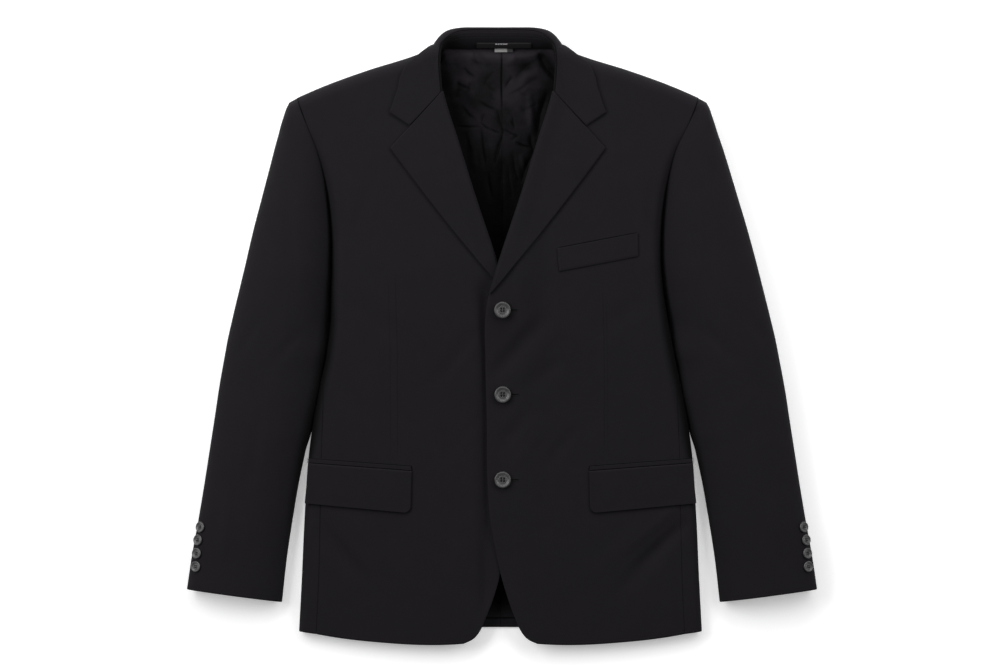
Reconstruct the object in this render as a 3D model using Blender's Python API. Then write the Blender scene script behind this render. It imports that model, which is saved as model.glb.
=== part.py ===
"""A single-breasted suit jacket laid on its back, buttoned, with its sleeves beside it.

Every piece that is cut and sewn is a wall of cloth of its own. Places are worked out in
millimetres: `out` runs from the centre front towards either side, `up` from the lowest point
of the front hem towards the collar, and z up from the surface that the jacket lies on.
The sides are the wearer's, so the left front, which laps over, is at +X.
"""
import math

import bmesh
import bpy
import numpy as np
from mathutils import Matrix, Vector

MM = 0.001
RIGHT = -1
LEFT = 1
SIDE_NAMES = {RIGHT: "right", LEFT: "left"}

# Driving dimensions, in millimetres.
LENGTH = 771.0          # collar to the lowest point of the front hem
SEAM = 0.3              # left open where two pieces meet
CLOTH = 1.6             # wall of the back, sides and sleeves
FRONT = 2.0             # wall of the fronts, with their interlining
FOLDED = 2.4            # wall of lapel, collar and flap, two layers of cloth
LINING = 1.0
SHOULDER_ROLL = 16.0    # how far in the cloth turns over at the shoulder line
SHOULDER_SEAM = 17.0    # height of the shoulder seam, at the outline
UNDERARM = 361.0        # level where the armhole is lowest
CAMBER = 3.0            # rise of the fronts towards their centre
LAP = 2.6               # the left front lies this far above the right one
BREAK = 436.0           # level where the lapels begin to turn
BREAK_RISE = 7.8        # what the turned edges under it add to the left front there
FACING_INSET = 4.0      # from the rolled edge of the lapel in to the edge of the front
ROLL_LIFT = 3.0         # how far the lapel and collar stand off the front along their roll
ROLL_WIDTH = 28.0       # and how wide the band is in which they come down to it
ROLL_RADIUS = 3.2       # of the lapel's fold
FACING = 18.0           # how far the lapel's facing reaches in behind the fold
LINING_WIDTH = 118.0    # out from the centre to the edge of the back lining that is built
LINING_HEM = 36.0
BUTTON = 21.0           # front button, across
CUFF_BUTTON = 13.5
BUTTON_THICK = 0.17     # as a share of its width
LOOP = 1.0              # wall of the hanger loop
LABEL = 0.8             # wall of the label
BELLY = 3.0             # swell of the lapel's outer edge

# Where each front button is sewn, up from the hem, and how far from the centre front.
BUTTON_LEVELS = (206.0, 312.5, 418.5)
BUTTON_OUT = 3.0


def table(columns, *rows):
    """Rows of numbers under named columns, one array for each column."""
    return dict(zip(columns.split(), np.array(rows, dtype=float).T))


# The body from the hem to the shoulder. out: its outline, and above the underarm the armhole
# seam. height: of the front's outer face. turn and under: how far, in degrees, the front and the
# back have rolled towards each other at that edge. strip and tail: girth from the outline to the
# seam on the front and on the back, between which the side panel lies.
BODY = table(
    "up     out    height turn under strip tail",
    (17.5,  251.5, 16.0,  90,  90,   27.0, 100.0),
    (80.0,  248.2, 17.0,  90,  90,   27.0, 99.0),
    (160.0, 244.5, 19.0,  90,  90,   26.0, 93.0),
    (240.0, 239.0, 22.0,  90,  90,   23.0, 80.0),
    (306.0, 230.0, 25.0,  90,  90,   16.0, 57.0),
    (361.0, 219.0, 29.0,  90,  90,   2.0,  2.0),
    (401.0, 213.2, 32.0,  66,  52,   2.0,  2.0),
    (440.0, 208.6, 34.0,  44,  22,   2.0,  2.0),
    (475.0, 205.5, 36.0,  28,  5,    2.0,  2.0),
    (512.0, 205.5, 37.0,  17,  0,    2.0,  2.0),
    (549.0, 208.4, 38.5,  10,  0,    2.0,  2.0),
    (583.0, 214.0, 39.5,  6,   0,    2.0,  2.0),
    (620.0, 224.5, 40.0,  3,   0,    2.0,  2.0),
    (652.0, 238.5, 40.0,  0,   0,    2.0,  2.0),
    (683.0, 250.0, 40.0,  0,   0,    2.0,  2.0),
)

# The levels that seams share, at the sides of the body and round the armhole.
BODY_LEVELS = np.array([17.5, 24, 34, 50, 80, 120, 160, 200, 240, 280, 320, 345, 361])
ARM_LEVELS = np.array([381, 401, 420, 440, 466, 493, 520, 549, 583, 620, 637, 652, 666, 677, 683])

# The front edge: for a level at the side, the height and the place of the same row's inner end.
# Above the break the place is the lapel's roll.
FRONT_EDGE = table(
    "level  up     out",
    (17.5,  2.5,   46.0),
    (24.0,  7.0,   36.0),
    (34.0,  16.0,  27.0),
    (50.0,  38.0,  17.0),
    (80.0,  74.0,  4.5),
    (120.0, 116.0, -5.5),
    (160.0, 158.0, -13.0),
    (200.0, 200.0, -16.0),
    (280.0, 280.0, -17.0),
    (361.0, 363.0, -18.7),
    (401.0, 403.0, -18.0),
    (420.0, 423.0, -15.5),
    (440.0, 448.0, -9.8),
    (466.0, 480.0, -1.5),
    (493.0, 512.0, 8.5),
    (520.0, 548.0, 20.5),
    (549.0, 588.0, 34.0),
    (583.0, 628.0, 47.0),
    (620.0, 672.0, 62.0),
    (637.0, 694.0, 68.5),
    (652.0, 713.0, 73.0),
    (666.0, 729.5, 73.5),
    (677.0, 739.6, 73.2),
    (683.0, 744.4, 73.0),
)
HEM_MIDDLE = 148.0      # the front hem sweeps down between its corner and the side: middle,
HEM_HALF = 102.0        # half length and depth of that sweep
HEM_SWEEP = 6.9

# The rolled edge of the lapel, from the break to the gorge.
ROLL = table(
    "up     out",
    (436.0, -13.0),
    (487.0, 0.6),
    (560.0, 24.5),
    (691.0, 68.0),
    (718.0, 73.5),
    (748.0, 72.5),
)
LAPEL_ROWS = np.array([0.047, 0.11, 0.172, 0.235, 0.298, 0.368, 0.438, 0.517, 0.595, 0.673,
                       0.751, 0.838, 0.924, 1.0])
LAPEL_TIP = (134.0, 619.5)
NOTCH = (109.6, 647.4)
GORGE = (68.6, 691.5)
COLLAR_TIP = (134.5, 663.8)
NOTCH_SHARE = 0.64      # of the collar's front edge, from its roll to the notch
SHOULDER_NECK = (75.0, 748.0)
SHOULDER_END = (250.0, 683.0)
SHOULDER_BOW = 2.4      # how far the shoulder's outline swells above a straight line
NECKLINE = 744.6        # level of the back's own upper edge
NECK_CORNER = 87.0      # out to where the back's neckline meets its shoulder

# The upper edge of the lining, which passes just under the foot of the collar's stand.
NECK_SEAM = table(
    "out    up",
    (0.0,   745.3),
    (17.0,  745.3),
    (34.0,  746.8),
    (51.0,  751.8),
    (67.0,  749.8),
    (84.0,  742.0),
    (118.0, 742.0),
)

# The sleeve, a row for each cross line: level and place of its inner end (out is read from the
# armhole above the underarm), its outer end, the height of its crest and how far the cloth
# underneath is lifted off the surface at the sleeve head.
SLEEVE = table(
    "inner inner_out outer_out outer_up crest lift",
    (683,  250.0,    260.0,    677.6,   17.9, 16.2),
    (677,  248.5,    263.8,    670.0,   31.0, 6.0),
    (666,  244.9,    267.0,    660.0,   38.5, 1.0),
    (652,  238.5,    270.8,    648.0,   42.0, 0.0),
    (637,  231.5,    274.2,    636.0,   43.5, 0.0),
    (620,  224.5,    279.2,    620.0,   45.0, 0.0),
    (583,  214.0,    288.5,    587.0,   47.0, 0.0),
    (549,  208.4,    298.0,    553.0,   48.5, 0.0),
    (520,  205.5,    306.2,    524.0,   49.0, 0.0),
    (493,  205.2,    313.2,    497.0,   49.0, 0.0),
    (466,  205.9,    320.1,    469.0,   49.0, 0.0),
    (440,  208.6,    326.8,    442.0,   48.0, 0.0),
    (420,  210.7,    331.8,    422.0,   47.5, 0.0),
    (401,  213.2,    336.3,    403.0,   47.0, 0.0),
    (381,  216.0,    341.0,    383.0,   46.0, 0.0),
    (361,  219.0,    345.0,    362.0,   45.0, 0.0),
    (320,  227.6,    352.2,    323.0,   43.0, 0.0),
    (280,  235.8,    358.3,    283.0,   42.0, 0.0),
    (238,  245.0,    365.0,    240.0,   41.0, 0.0),
    (200,  253.0,    371.3,    200.0,   39.0, 0.0),
    (156,  260.5,    378.5,    157.0,   38.0, 0.0),
    (108,  267.8,    386.5,    113.0,   36.0, 0.0),
    (54.4, 273.8,    392.9,    70.6,    35.0, 0.0),
)
SLEEVE_FOLD = 15.0      # height of the sleeve's inner fold below the underarm
CUFF_BUTTON_ROWS = table(
    "out    up",
    (375.4, 148.5),
    (377.4, 132.5),
    (379.2, 116.0),
    (380.9, 99.7),
)

# The collar, a row for each station from the centre back round to the gorge. out, up, z: the
# crest of its roll. heading: the way the fall hangs from it, in degrees from straight up. foot:
# how far inside the crest the stand ends, and foot_z how high. reach, edge_z: where the fall
# ends. bulge: how far it swells out on the way down.
COLLAR = table(
    "out    up     z     heading foot  foot_z reach  edge_z bulge",
    (0.0,   767.0, 26.0, 0.0,    23.0, 6.2,   -21.0, 1.6,   5.5),
    (26.0,  767.0, 26.5, 2.0,    22.5, 6.4,   -20.5, 1.6,   5.5),
    (46.0,  765.5, 29.0, 16.0,   19.0, 7.4,   -18.0, 1.6,   6.5),
    (60.0,  759.5, 34.0, 40.0,   12.0, 10.0,  -7.0,  2.5,   8.0),
    (70.0,  750.0, 40.0, 70.0,   6.0,  14.5,  5.0,   9.0,   6.0),
    (75.5,  740.0, 45.0, 97.0,   4.0,  22.0,  29.0,  22.0,  2.0),
    (77.8,  727.0, 47.0, 98.0,   3.2,  31.0,  40.0,  38.0,  0.0),
    (77.0,  709.0, 47.5, 105.0,  3.2,  37.0,  52.0,  42.0,  0.0),
    (72.6,  688.5, 47.0, 138.0,  3.2,  38.0,  60.0,  42.0,  0.0),
)

# Hanger loop: shares of the stand's height, its stretch and shift sideways, and how far it
# stands off. Label: its ends along the world's X and up, and the height of its face.
LOOP_SHARES = (0.28, 0.62)
LOOP_WIDEN = 1.2
LOOP_SHIFT = 2.0
LOOP_GAP = 1.1
LABEL_X = (-6.0, 17.0)
LABEL_UP = (733.5, 740.5)
LABEL_RISE = 5.3

# Corners of the pocket pieces, out and up: lower outer, lower inner, upper inner, upper outer.
FLAP = ((244.0, 178.0), (111.8, 165.6), (110.4, 218.2), (239.0, 228.0))
JET = ((239.5, 228.6), (110.4, 218.8), (111.2, 224.0), (239.5, 233.6))
WELT = ((173.5, 485.0), (75.5, 466.5), (73.5, 495.2), (173.0, 514.2))
FLAP_CORNER = 8.0
FLAP_ROWS = np.array([0, 0.012, 0.045, 0.093, 0.155, 0.4, 0.7, 1.0])

# The largest folds. x, up: both ends, x signed as the world's X.
FRONT_FOLDS = table(
    "x0     up0    x1     up1    width height",
    (240.0, 165.0, 150.0, 70.0,  20.0, -1.8),
    (200.0, 172.0, 120.0, 92.0,  18.0, 1.2),
    (15.0,  400.0, 85.0,  300.0, 16.0, -1.2),
    (25.0,  300.0, 95.0,  205.0, 16.0, -1.0),
    (-30.0, 400.0, -90.0, 315.0, 16.0, -1.0),
    (-235.0, 150.0, -160.0, 75.0, 20.0, -1.4),
    (190.0, 440.0, 110.0, 380.0, 22.0, -1.4),
    (-190.0, 440.0, -115.0, 375.0, 22.0, -1.4),
)
LINING_FOLDS = table(
    "x0     up0    x1     up1    width height",
    (-52.0, 725.0, -30.0, 706.0, 9.0,  2.5),
    (-44.0, 690.0, -24.0, 668.0, 9.0,  2.5),
    (-26.0, 676.0, 6.0,   640.0, 8.0,  2.5),
    (40.0,  728.0, 18.0,  700.0, 9.0,  2.5),
    (46.0,  700.0, 34.0,  650.0, 10.0, 2.0),
    (12.0,  652.0, 34.0,  632.0, 8.0,  2.5),
    (-12.0, 640.0, -6.0,  560.0, 8.0,  2.0),
    (22.0,  640.0, 14.0,  560.0, 9.0,  1.5),
)

# Name, sRGB colour, roughness and metallic value of each finish.
FINISHES = {
    "suiting": ((0.125, 0.119, 0.126), 0.90, 0.0),
    "lining": ((0.105, 0.098, 0.105), 0.55, 0.0),
    "button": ((0.235, 0.230, 0.240), 0.35, 0.0),
    "label": ((0.560, 0.550, 0.540), 0.80, 0.0),
}


def follow(knots, values, at):
    """Smooth curve through a table's rows, its slope at each row the mean of its neighbours'."""
    slope = np.gradient(values, knots)
    at = np.clip(at, knots[0], knots[-1])
    row = np.clip(np.searchsorted(knots, at, side="right") - 1, 0, len(knots) - 2)
    step = knots[row + 1] - knots[row]
    t = (at - knots[row]) / step
    start = values[row] * (1 + 2 * t) * (1 - t) ** 2 + slope[row] * step * t * (1 - t) ** 2
    end = values[row + 1] * t ** 2 * (3 - 2 * t) + slope[row + 1] * step * t ** 2 * (t - 1)
    return start + end


def ease(t):
    """Smooth step from 0 to 1."""
    t = np.clip(t, 0.0, 1.0)
    return t * t * (3 - 2 * t)


def quarter(t):
    """Quarter circle: 0 at an outline, 1 where the cloth lies level, one radius in."""
    return np.sqrt(1 - (1 - np.clip(t, 0.0, 1.0)) ** 2)


def body(column, up):
    """A column of the body's table at a level."""
    return follow(BODY["up"], BODY[column], up)


def folds(rows, x, up):
    """Height that the folds of a table add: soft ridges and troughs that fade at both ends."""
    total = np.zeros(np.broadcast(x, up).shape)
    for x0, up0, x1, up1, width, height in zip(*rows.values()):
        along = np.array([x1 - x0, up1 - up0])
        length = np.hypot(*along)
        t = ((x - x0) * along[0] + (up - up0) * along[1]) / length ** 2
        off = np.abs((x - x0) * along[1] - (up - up0) * along[0]) / length
        ridge = 0.5 * (1 + np.cos(np.pi * np.clip(off / width, 0, 1)))
        total = total + height * ridge * np.clip(1 - (2 * t - 1) ** 2, 0, None)
    return total


def shoulder_bow(out):
    """How far the shoulder's outline lies above the straight line between its ends."""
    t = np.clip((out - SHOULDER_NECK[0]) / (SHOULDER_END[0] - SHOULDER_NECK[0]), 0, 1)
    return SHOULDER_BOW * np.sin(np.pi * t ** 2)


def shoulder_line(out):
    """Level of the shoulder's outline."""
    fall = (SHOULDER_NECK[1] - SHOULDER_END[1]) / (SHOULDER_END[0] - SHOULDER_NECK[0])
    return SHOULDER_NECK[1] - fall * (out - SHOULDER_NECK[0]) + shoulder_bow(out)


def below_shoulder(out, up):
    """Quarter-circle rise with the distance below the shoulder's outline."""
    slant = math.atan2(SHOULDER_NECK[1] - SHOULDER_END[1], SHOULDER_END[0] - SHOULDER_NECK[0])
    return quarter((shoulder_line(out) - up) * math.cos(slant) / SHOULDER_ROLL)


def side_turn(level, column):
    """Radius and start of the roll at the side, for the front's or the back's turn."""
    radius = 0.55 * body("height", level)
    angle = np.radians(body(column, level))
    return radius, body("out", level) - radius * np.sin(angle), angle


def over_rise(x, up):
    """How far the left front is lifted where it laps over the right one."""
    near = 1 - ease((x - 22.0) / 45.0)
    rise = LAP + BREAK_RISE * np.exp(-((up - 462.0) / 65.0) ** 2)
    return rise * near * (1 - ease((up - 505.0) / 100.0))


def front_face(side, out, up):
    """Height of a front's outer face where it isn't rolled under at the side."""
    start = side_turn(up, "turn")[1]
    z = body("height", up) + CAMBER * (1 - np.clip(out / start, -1, 1) ** 2)
    z = z + folds(FRONT_FOLDS, side * out, up)
    if side == LEFT:
        z = z + over_rise(out, up)
    return SHOULDER_SEAM + (z - SHOULDER_SEAM) * below_shoulder(out, up)


def lean(out, up):
    """The small sideways shift with which the body and the sleeves lie, in millimetres."""
    middle = np.interp(up, [361.0, 480.0, 771.0], [-1.9, -5.0, -5.3])
    sleeve = np.interp(up, [300.0, 475.0, 650.0], [0.0, -1.0, -4.3])
    share = ease((np.abs(out) - body("out", up)) / 70.0)
    return middle + (sleeve - middle) * share


def place(side, out, up, z):
    """World coordinates, in metres, of points given by out, up and z."""
    out, up, z = np.broadcast_arrays(out, up, z)
    x = side * out + lean(out, up)
    return np.stack([x, up - LENGTH / 2, z], axis=-1) * MM


def finish_material(name, finish):
    """A material of the piece's own, with the colour and gloss of its finish."""
    colour, roughness, metallic = FINISHES[finish]
    material = bpy.data.materials.new(name)
    material.use_nodes = True
    shader = material.node_tree.nodes["Principled BSDF"]
    linear = [channel ** 2.2 for channel in colour]
    shader.inputs["Base Color"].default_value = (*linear, 1.0)
    shader.inputs["Roughness"].default_value = roughness
    shader.inputs["Metallic"].default_value = metallic
    material.diffuse_color = (*linear, 1.0)
    return material


def add_object(name, mesh, finish, sharp=40.0):
    """Put a mesh into the scene as a smooth-shaded piece with its own material."""
    mesh.materials.append(finish_material(name, finish))
    mesh.shade_smooth()
    mesh.set_sharp_from_angle(angle=math.radians(sharp))
    piece = bpy.data.objects.new(name, mesh)
    bpy.context.collection.objects.link(piece)
    return piece


def grid_normals(grid, outward):
    """Unit normals of a grid of points, all turned to the side that outward names."""
    along = np.gradient(grid, axis=0)
    across = np.gradient(grid, axis=1)
    normal = np.cross(along, across)
    normal /= np.maximum(np.linalg.norm(normal, axis=-1, keepdims=True), 1e-12)
    if (normal @ np.array(outward, dtype=float)).sum() < 0:
        normal = -normal
    return normal


def wall(name, face, thickness, outward, finish, raised=0.0, square=None):
    """A closed wall of cloth between a grid, moved out by raised, and the same grid moved in.

    square may turn the normals along a seam, so that the walls that meet there stay parallel.
    """
    normal = grid_normals(face, outward)
    if square is not None:
        square(normal)
        normal /= np.linalg.norm(normal, axis=-1, keepdims=True)
    outer = face + normal * raised * MM
    inner = face + normal * (raised - thickness) * MM
    rows, columns = face.shape[:2]
    points = np.concatenate([outer.reshape(-1, 3), inner.reshape(-1, 3)])
    index = np.arange(rows * columns).reshape(rows, columns)
    quads = np.stack([index[:-1, :-1], index[1:, :-1], index[1:, 1:], index[:-1, 1:]], axis=-1)
    quads = quads.reshape(-1, 4)
    rim = np.concatenate([index[0, :-1], index[:-1, -1], index[-1, :0:-1], index[:0:-1, 0]])
    ahead = np.roll(rim, -1)
    count = rows * columns
    edge = np.stack([rim, ahead, ahead + count, rim + count], axis=-1)
    faces = np.concatenate([quads, quads[:, ::-1] + count, edge])
    mesh = bpy.data.meshes.new(name)
    mesh.from_pydata(points.tolist(), [], faces.tolist())
    close_outward(mesh)
    return add_object(name, mesh, finish)


def close_outward(mesh):
    """Turn every face of a closed mesh outwards and cut its faces into triangles."""
    shell = bmesh.new()
    shell.from_mesh(mesh)
    bmesh.ops.recalc_face_normals(shell, faces=shell.faces)
    bmesh.ops.triangulate(shell, faces=shell.faces)
    shell.to_mesh(mesh)
    shell.free()


def girth_point(level, girth, column, start_out=None):
    """Out and depth of a point past where the cloth begins to turn under at the side."""
    radius, start, _ = side_turn(level, column)
    angle = np.clip(girth / radius, 0, np.pi)
    out = start + np.minimum(girth, 0) + radius * np.sin(angle)
    out = out - np.maximum(girth - np.pi * radius, 0)
    drop = 0.5 * body("height", level) * (1 - np.cos(angle))
    return out, drop


def turn_normal(side, level, facing, column):
    """Normals at the seam of the front (facing 1) or the back (facing -1) as it turns under."""
    radius = side_turn(level, column)[0]
    angle = np.clip(seam_girth(level, column) / radius, 0, np.pi)
    return np.stack([side * np.sin(angle), 0 * angle, facing * np.cos(angle)], axis=-1)


def shoulder_normal(side):
    """Level normal of the shoulder's outline."""
    fall = (SHOULDER_NECK[1] - SHOULDER_END[1]) / (SHOULDER_END[0] - SHOULDER_NECK[0])
    return np.array([side * fall, 1.0, 0.0]) / math.hypot(fall, 1.0)


def seam_girth(level, column):
    """Girth at which the front or the back ends, from where its own turn begins."""
    radius, _, angle = side_turn(level, column)
    strip = body("strip" if column == "turn" else "tail", level)
    inside = radius * np.pi / 2 - strip
    return np.where(level > UNDERARM - 1, radius * angle, inside)


def front_grid(side, levels, shares):
    """A front's outer face: rows from the front edge to the side seam or the armhole."""
    level = levels[:, None]
    edge_up = follow(FRONT_EDGE["level"], FRONT_EDGE["up"], level)
    edge_out = follow(FRONT_EDGE["level"], FRONT_EDGE["out"], level)
    inset = FACING_INSET + 1.5 * ease((edge_up - 670.0) / 20.0) + 7.0 * ease((edge_up - 725.0) / 20.0)
    rolled = follow(ROLL["up"], ROLL["out"], edge_up) + inset
    edge_out = np.where(edge_up > BREAK, rolled, edge_out)
    start = side_turn(level, "turn")[1]
    last = seam_girth(level, "turn") - SEAM / 2
    girth = (edge_out - start) + shares * (last - (edge_out - start))
    out, drop = girth_point(level, girth, "turn")
    up = edge_up + (level - edge_up) * shares
    sweep = 1 - np.clip(np.abs(out - HEM_MIDDLE) / HEM_HALF, 0, 1) ** 2.5
    up = up - HEM_SWEEP * sweep * np.clip(1 - (level - 17.5) / 60.0, 0, 1)
    up = up + shoulder_bow(out) * ease((level - 620.0) / 63.0)
    return out, up, front_face(side, out, up) - drop


def build_front(side):
    """Front panel of one side, from the hem to the shoulder."""
    levels = np.concatenate([BODY_LEVELS, ARM_LEVELS])
    shares = 1 - (1 - np.linspace(0, 1, 14)) ** 1.35
    out, up, z = front_grid(side, levels, shares)

    def square(normal):
        turned_in = levels < 500.0
        normal[turned_in, -1] = turn_normal(side, levels[turned_in], 1, "turn")
        normal[~turned_in, -1, 0] = 0.0
        normal[-1] = shoulder_normal(side)

    face = place(side, out, up, z)
    wall(f"front_{SIDE_NAMES[side]}", face, FRONT, (0, 0, 1), "suiting", square=square)


def build_side(side):
    """Side panel, folded round between the front's seam and the back's."""
    level = BODY_LEVELS[:, None]
    radius = side_turn(level, "turn")[0]
    first = seam_girth(level, "turn") + SEAM / 2
    last = np.pi * radius - seam_girth(level, "under") - SEAM / 2
    around = np.array([0, 0.1, 0.16, 0.21, 0.26, 0.31, 0.36, 0.42, 0.6, 0.8, 1.0])
    even = np.linspace(0, 1, len(around))
    around = around + (even - around) * ease((level - 200.0) / 130.0)
    girth = first + (last - first) * around
    out, drop = girth_point(level, girth, "turn")
    camber = front_face(side, out, level) - body("height", level)
    z = body("height", level) - drop + np.where(girth < 0, camber, 0.0)
    up = np.broadcast_to(level, out.shape)

    def square(normal):
        normal[:, 0] = turn_normal(side, BODY_LEVELS, 1, "turn")
        normal[:, -1] = turn_normal(side, BODY_LEVELS, -1, "under")

    face = place(side, out, up, np.maximum(z, 0))
    wall(f"side_{SIDE_NAMES[side]}", face, CLOTH, (side, 0, 0), "suiting", square=square)


def back_top(out):
    """Level of the back's upper edge: its neckline, then the shoulder."""
    return np.minimum(NECKLINE, shoulder_line(out))


def back_face(out, up):
    """Height of the back's outer face as it rises off the surface to the shoulder seam."""
    return (SHOULDER_SEAM - SEAM) * (1 - below_shoulder(out, up))


def build_back(side):
    """Back panel of one side, lying on the surface, from the centre seam outwards."""
    levels = np.concatenate([BODY_LEVELS, ARM_LEVELS])[:, None]
    shares = 1 - (1 - np.linspace(0, 1, 7)) ** 1.5
    _, start, _ = side_turn(levels, "under")
    last = seam_girth(levels, "under") - SEAM / 2
    girth = (SEAM / 2 - start) + shares * (last - (SEAM / 2 - start))
    out, rise = girth_point(levels, girth, "under")
    above = np.clip((levels - 549.0) / (SHOULDER_END[1] - 549.0), 0, 1)
    up = np.where(levels > 549.0, 549.0 + above * (back_top(out) - 549.0), levels)
    up = up + 5.0 * (1 - shares ** 2) * (levels < 18.0)
    z = np.maximum(rise, back_face(out, up))

    def square(normal):
        turned_in = levels[:, 0] < 500.0
        normal[turned_in, -1] = turn_normal(side, levels[turned_in, 0], -1, "under")
        normal[~turned_in, -1, 0] = 0.0
        normal[-1, out[-1] > NECK_CORNER] = shoulder_normal(side)

    face = place(side, out, up, z)
    wall(f"back_{SIDE_NAMES[side]}", face, CLOTH, (0, 0, -1), "suiting", square=square)


def build_lining(side):
    """Half of the back lining, lying on the back with its wrinkles."""
    out = SEAM / 2 + (LINING_WIDTH - SEAM / 2) * np.linspace(0, 1, 8)
    top = np.interp(out, NECK_SEAM["out"], NECK_SEAM["up"])
    margin = SHOULDER_ROLL * (0.375 + 1.1 * ease((out - 67.0) / 17.0))
    top = np.minimum(top, shoulder_line(out) - margin)
    share = np.linspace(0, 1, 19)[:, None] ** 0.75
    up = LINING_HEM + (top - LINING_HEM) * share
    out = np.broadcast_to(out, up.shape)
    z = back_face(out, up) + CLOTH + 2 * SEAM + LINING
    z = z + 2.2 * ease((out - 40.0) / 25.0) * ease((up - 690.0) / 40.0)
    z = z + 1.2 * ease((up - 726.0) / 14.0)
    z = z + np.clip(folds(LINING_FOLDS, side * out, up), 0, None)
    wall(f"lining_{SIDE_NAMES[side]}", place(side, out, up, z), LINING, (0, 0, 1), "lining")


def sleeve_rows(side):
    """Ends and heights of the sleeve's cross lines."""
    rows = {name: values[:, None] for name, values in SLEEVE.items()}
    level = rows["inner"]
    attached = level > UNDERARM - 1
    joined = body("out", level) + SEAM + 3 * SEAM * (rows["lift"] > 0)
    rows["inner_out"] = np.where(attached, joined, rows["inner_out"])
    turn = 0.5 * body("height", level) * (1 - np.cos(np.radians(body("turn", level))))
    seam_z = front_face(RIGHT, body("out", level), level) - turn
    rows["inner_z"] = np.where(attached, seam_z, SLEEVE_FOLD)
    under = 0.5 * body("height", level) * (1 - np.cos(np.radians(body("under", level))))
    rows["inner_under"] = np.where(attached, np.maximum(under - SEAM, 0), SLEEVE_FOLD - SEAM)
    rows["outer_z"] = np.maximum(0.45 * rows["crest"], rows["lift"] + SEAM)
    return rows


def topsleeve_grid(side, columns):
    """Outer face of the upper sleeve: an arch over each cross line."""
    rows = sleeve_rows(side)
    across = -np.cos(np.pi * np.linspace(0, 1, columns))
    share = (1 + across) / 2
    arch = (1 - np.abs(across) ** 2.3) ** (1 / 2.3)
    end = np.where(across < 0, rows["outer_z"], rows["inner_z"])
    z = rows["crest"] - (rows["crest"] - end) * (1 - arch)
    out = rows["outer_out"] + (rows["inner_out"] - rows["outer_out"]) * share
    up = rows["outer_up"] + (rows["inner"] - rows["outer_up"]) * share
    return out, up, z


def undersleeve_grid(side):
    """Outer face of the under sleeve: flat on the surface and turned up at both edges."""
    rows = sleeve_rows(side)
    flat = 0.72
    across = np.array([-1, -0.97, -0.88, -flat, 0, flat, 0.88, 0.97, 1])
    share = (1 + across) / 2
    bend = 1 - np.sqrt(1 - (np.clip(np.abs(across) - flat, 0, None) / (1 - flat)) ** 2)
    outer = rows["outer_z"] - SEAM
    end = np.where(across < 0, outer, rows["inner_under"])
    z = np.maximum(rows["lift"], 0) + np.clip(end - rows["lift"], 0, None) * bend
    out = rows["outer_out"] + (rows["inner_out"] - rows["outer_out"]) * share
    up = rows["outer_up"] + (rows["inner"] - rows["outer_up"]) * share
    return out, up, z


def build_sleeve(side):
    """Topsleeve and undersleeve of one side."""
    name = SIDE_NAMES[side]
    top = place(side, *topsleeve_grid(side, 12))
    under = place(side, *undersleeve_grid(side))
    free = SLEEVE["inner"] < UNDERARM + 1
    head = SLEEVE["inner"] > 500.0

    def square(normal):
        normal[:, 0, 2] = 0.0
        normal[0, :, 2] = 0.0
        normal[free, -1, 2] = 0.0
        normal[head, -1, 0] = 0.0

    wall(f"topsleeve_{name}", top, CLOTH, (0, 0, 1), "suiting", square=square)
    wall(f"undersleeve_{name}", under, CLOTH, (0, 0, -1), "suiting", square=square)


def lapel_grid(side):
    """Middle of a lapel's wall: out from inside the front, round the roll and out to its edge."""
    t = LAPEL_ROWS[:, None]
    if side == RIGHT:
        t = t[1:]
    roll_up = BREAK + (GORGE[1] - BREAK) * t
    roll_out = follow(ROLL["up"], ROLL["out"], roll_up)
    belly = BELLY * np.sin(np.pi * t)
    edge_out = -13.0 + (LAPEL_TIP[0] + 13.0) * t + 0.6 * belly
    edge_up = BREAK + (LAPEL_TIP[1] - BREAK) * t - 0.8 * belly
    across_out = edge_out - roll_out
    across_up = edge_up - roll_up
    width = np.hypot(across_out, across_up)
    roll = np.minimum(ROLL_RADIUS, 0.25 * width)
    inside = FACING * (0.22 + 0.78 * ease((t - 0.25) / 0.3))
    inside = np.minimum(inside, 0.8 * width)
    lift = ROLL_LIFT * ease(width / 40.0)
    half = FOLDED / 2
    under = FRONT + 3 * SEAM + half
    rest = 3 * SEAM + half

    def point(reach, turned_under):
        """Plan place at a distance from the rolled edge, and the height on the front or inside."""
        share = (reach + half) / width
        out = roll_out + across_out * share
        up = roll_up + across_up * share
        face = front_face(side, out, up)
        if turned_under:
            return out, up, face - under
        raised = lift * np.cos(np.pi / 2 * np.clip(reach / ROLL_WIDTH, 0, 1)) ** 2
        return out, up, face + rest + raised

    parts = []
    for reach in np.linspace(1, 0, 4)[:-1]:
        parts.append(point(roll + (inside - roll) * reach, True))
    top = point(roll, False)
    bottom = point(roll, True)
    centre = (top[2] + bottom[2]) / 2
    swing = (top[2] - bottom[2]) / 2
    for angle in np.radians([-90, -54, -18, 18, 54]):
        out, up, _ = point(roll - roll * math.cos(angle), False)
        parts.append((out, up, centre + swing * math.sin(angle)))
    for share in np.linspace(0, 1, 8):
        reach = roll + (width - half - roll) * share ** 1.2
        parts.append(point(reach, False))
    out, up, z = (np.concatenate(values, axis=1) for values in zip(*parts))
    return out, up, z


def build_lapel(side):
    """Lapel of one side, with the facing turned in along its roll."""
    out, up, z = lapel_grid(side)
    name = f"lapel_{SIDE_NAMES[side]}"
    wall(name, place(side, out, up, z), FOLDED, (0, 0, 1), "suiting", FOLDED / 2)


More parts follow.
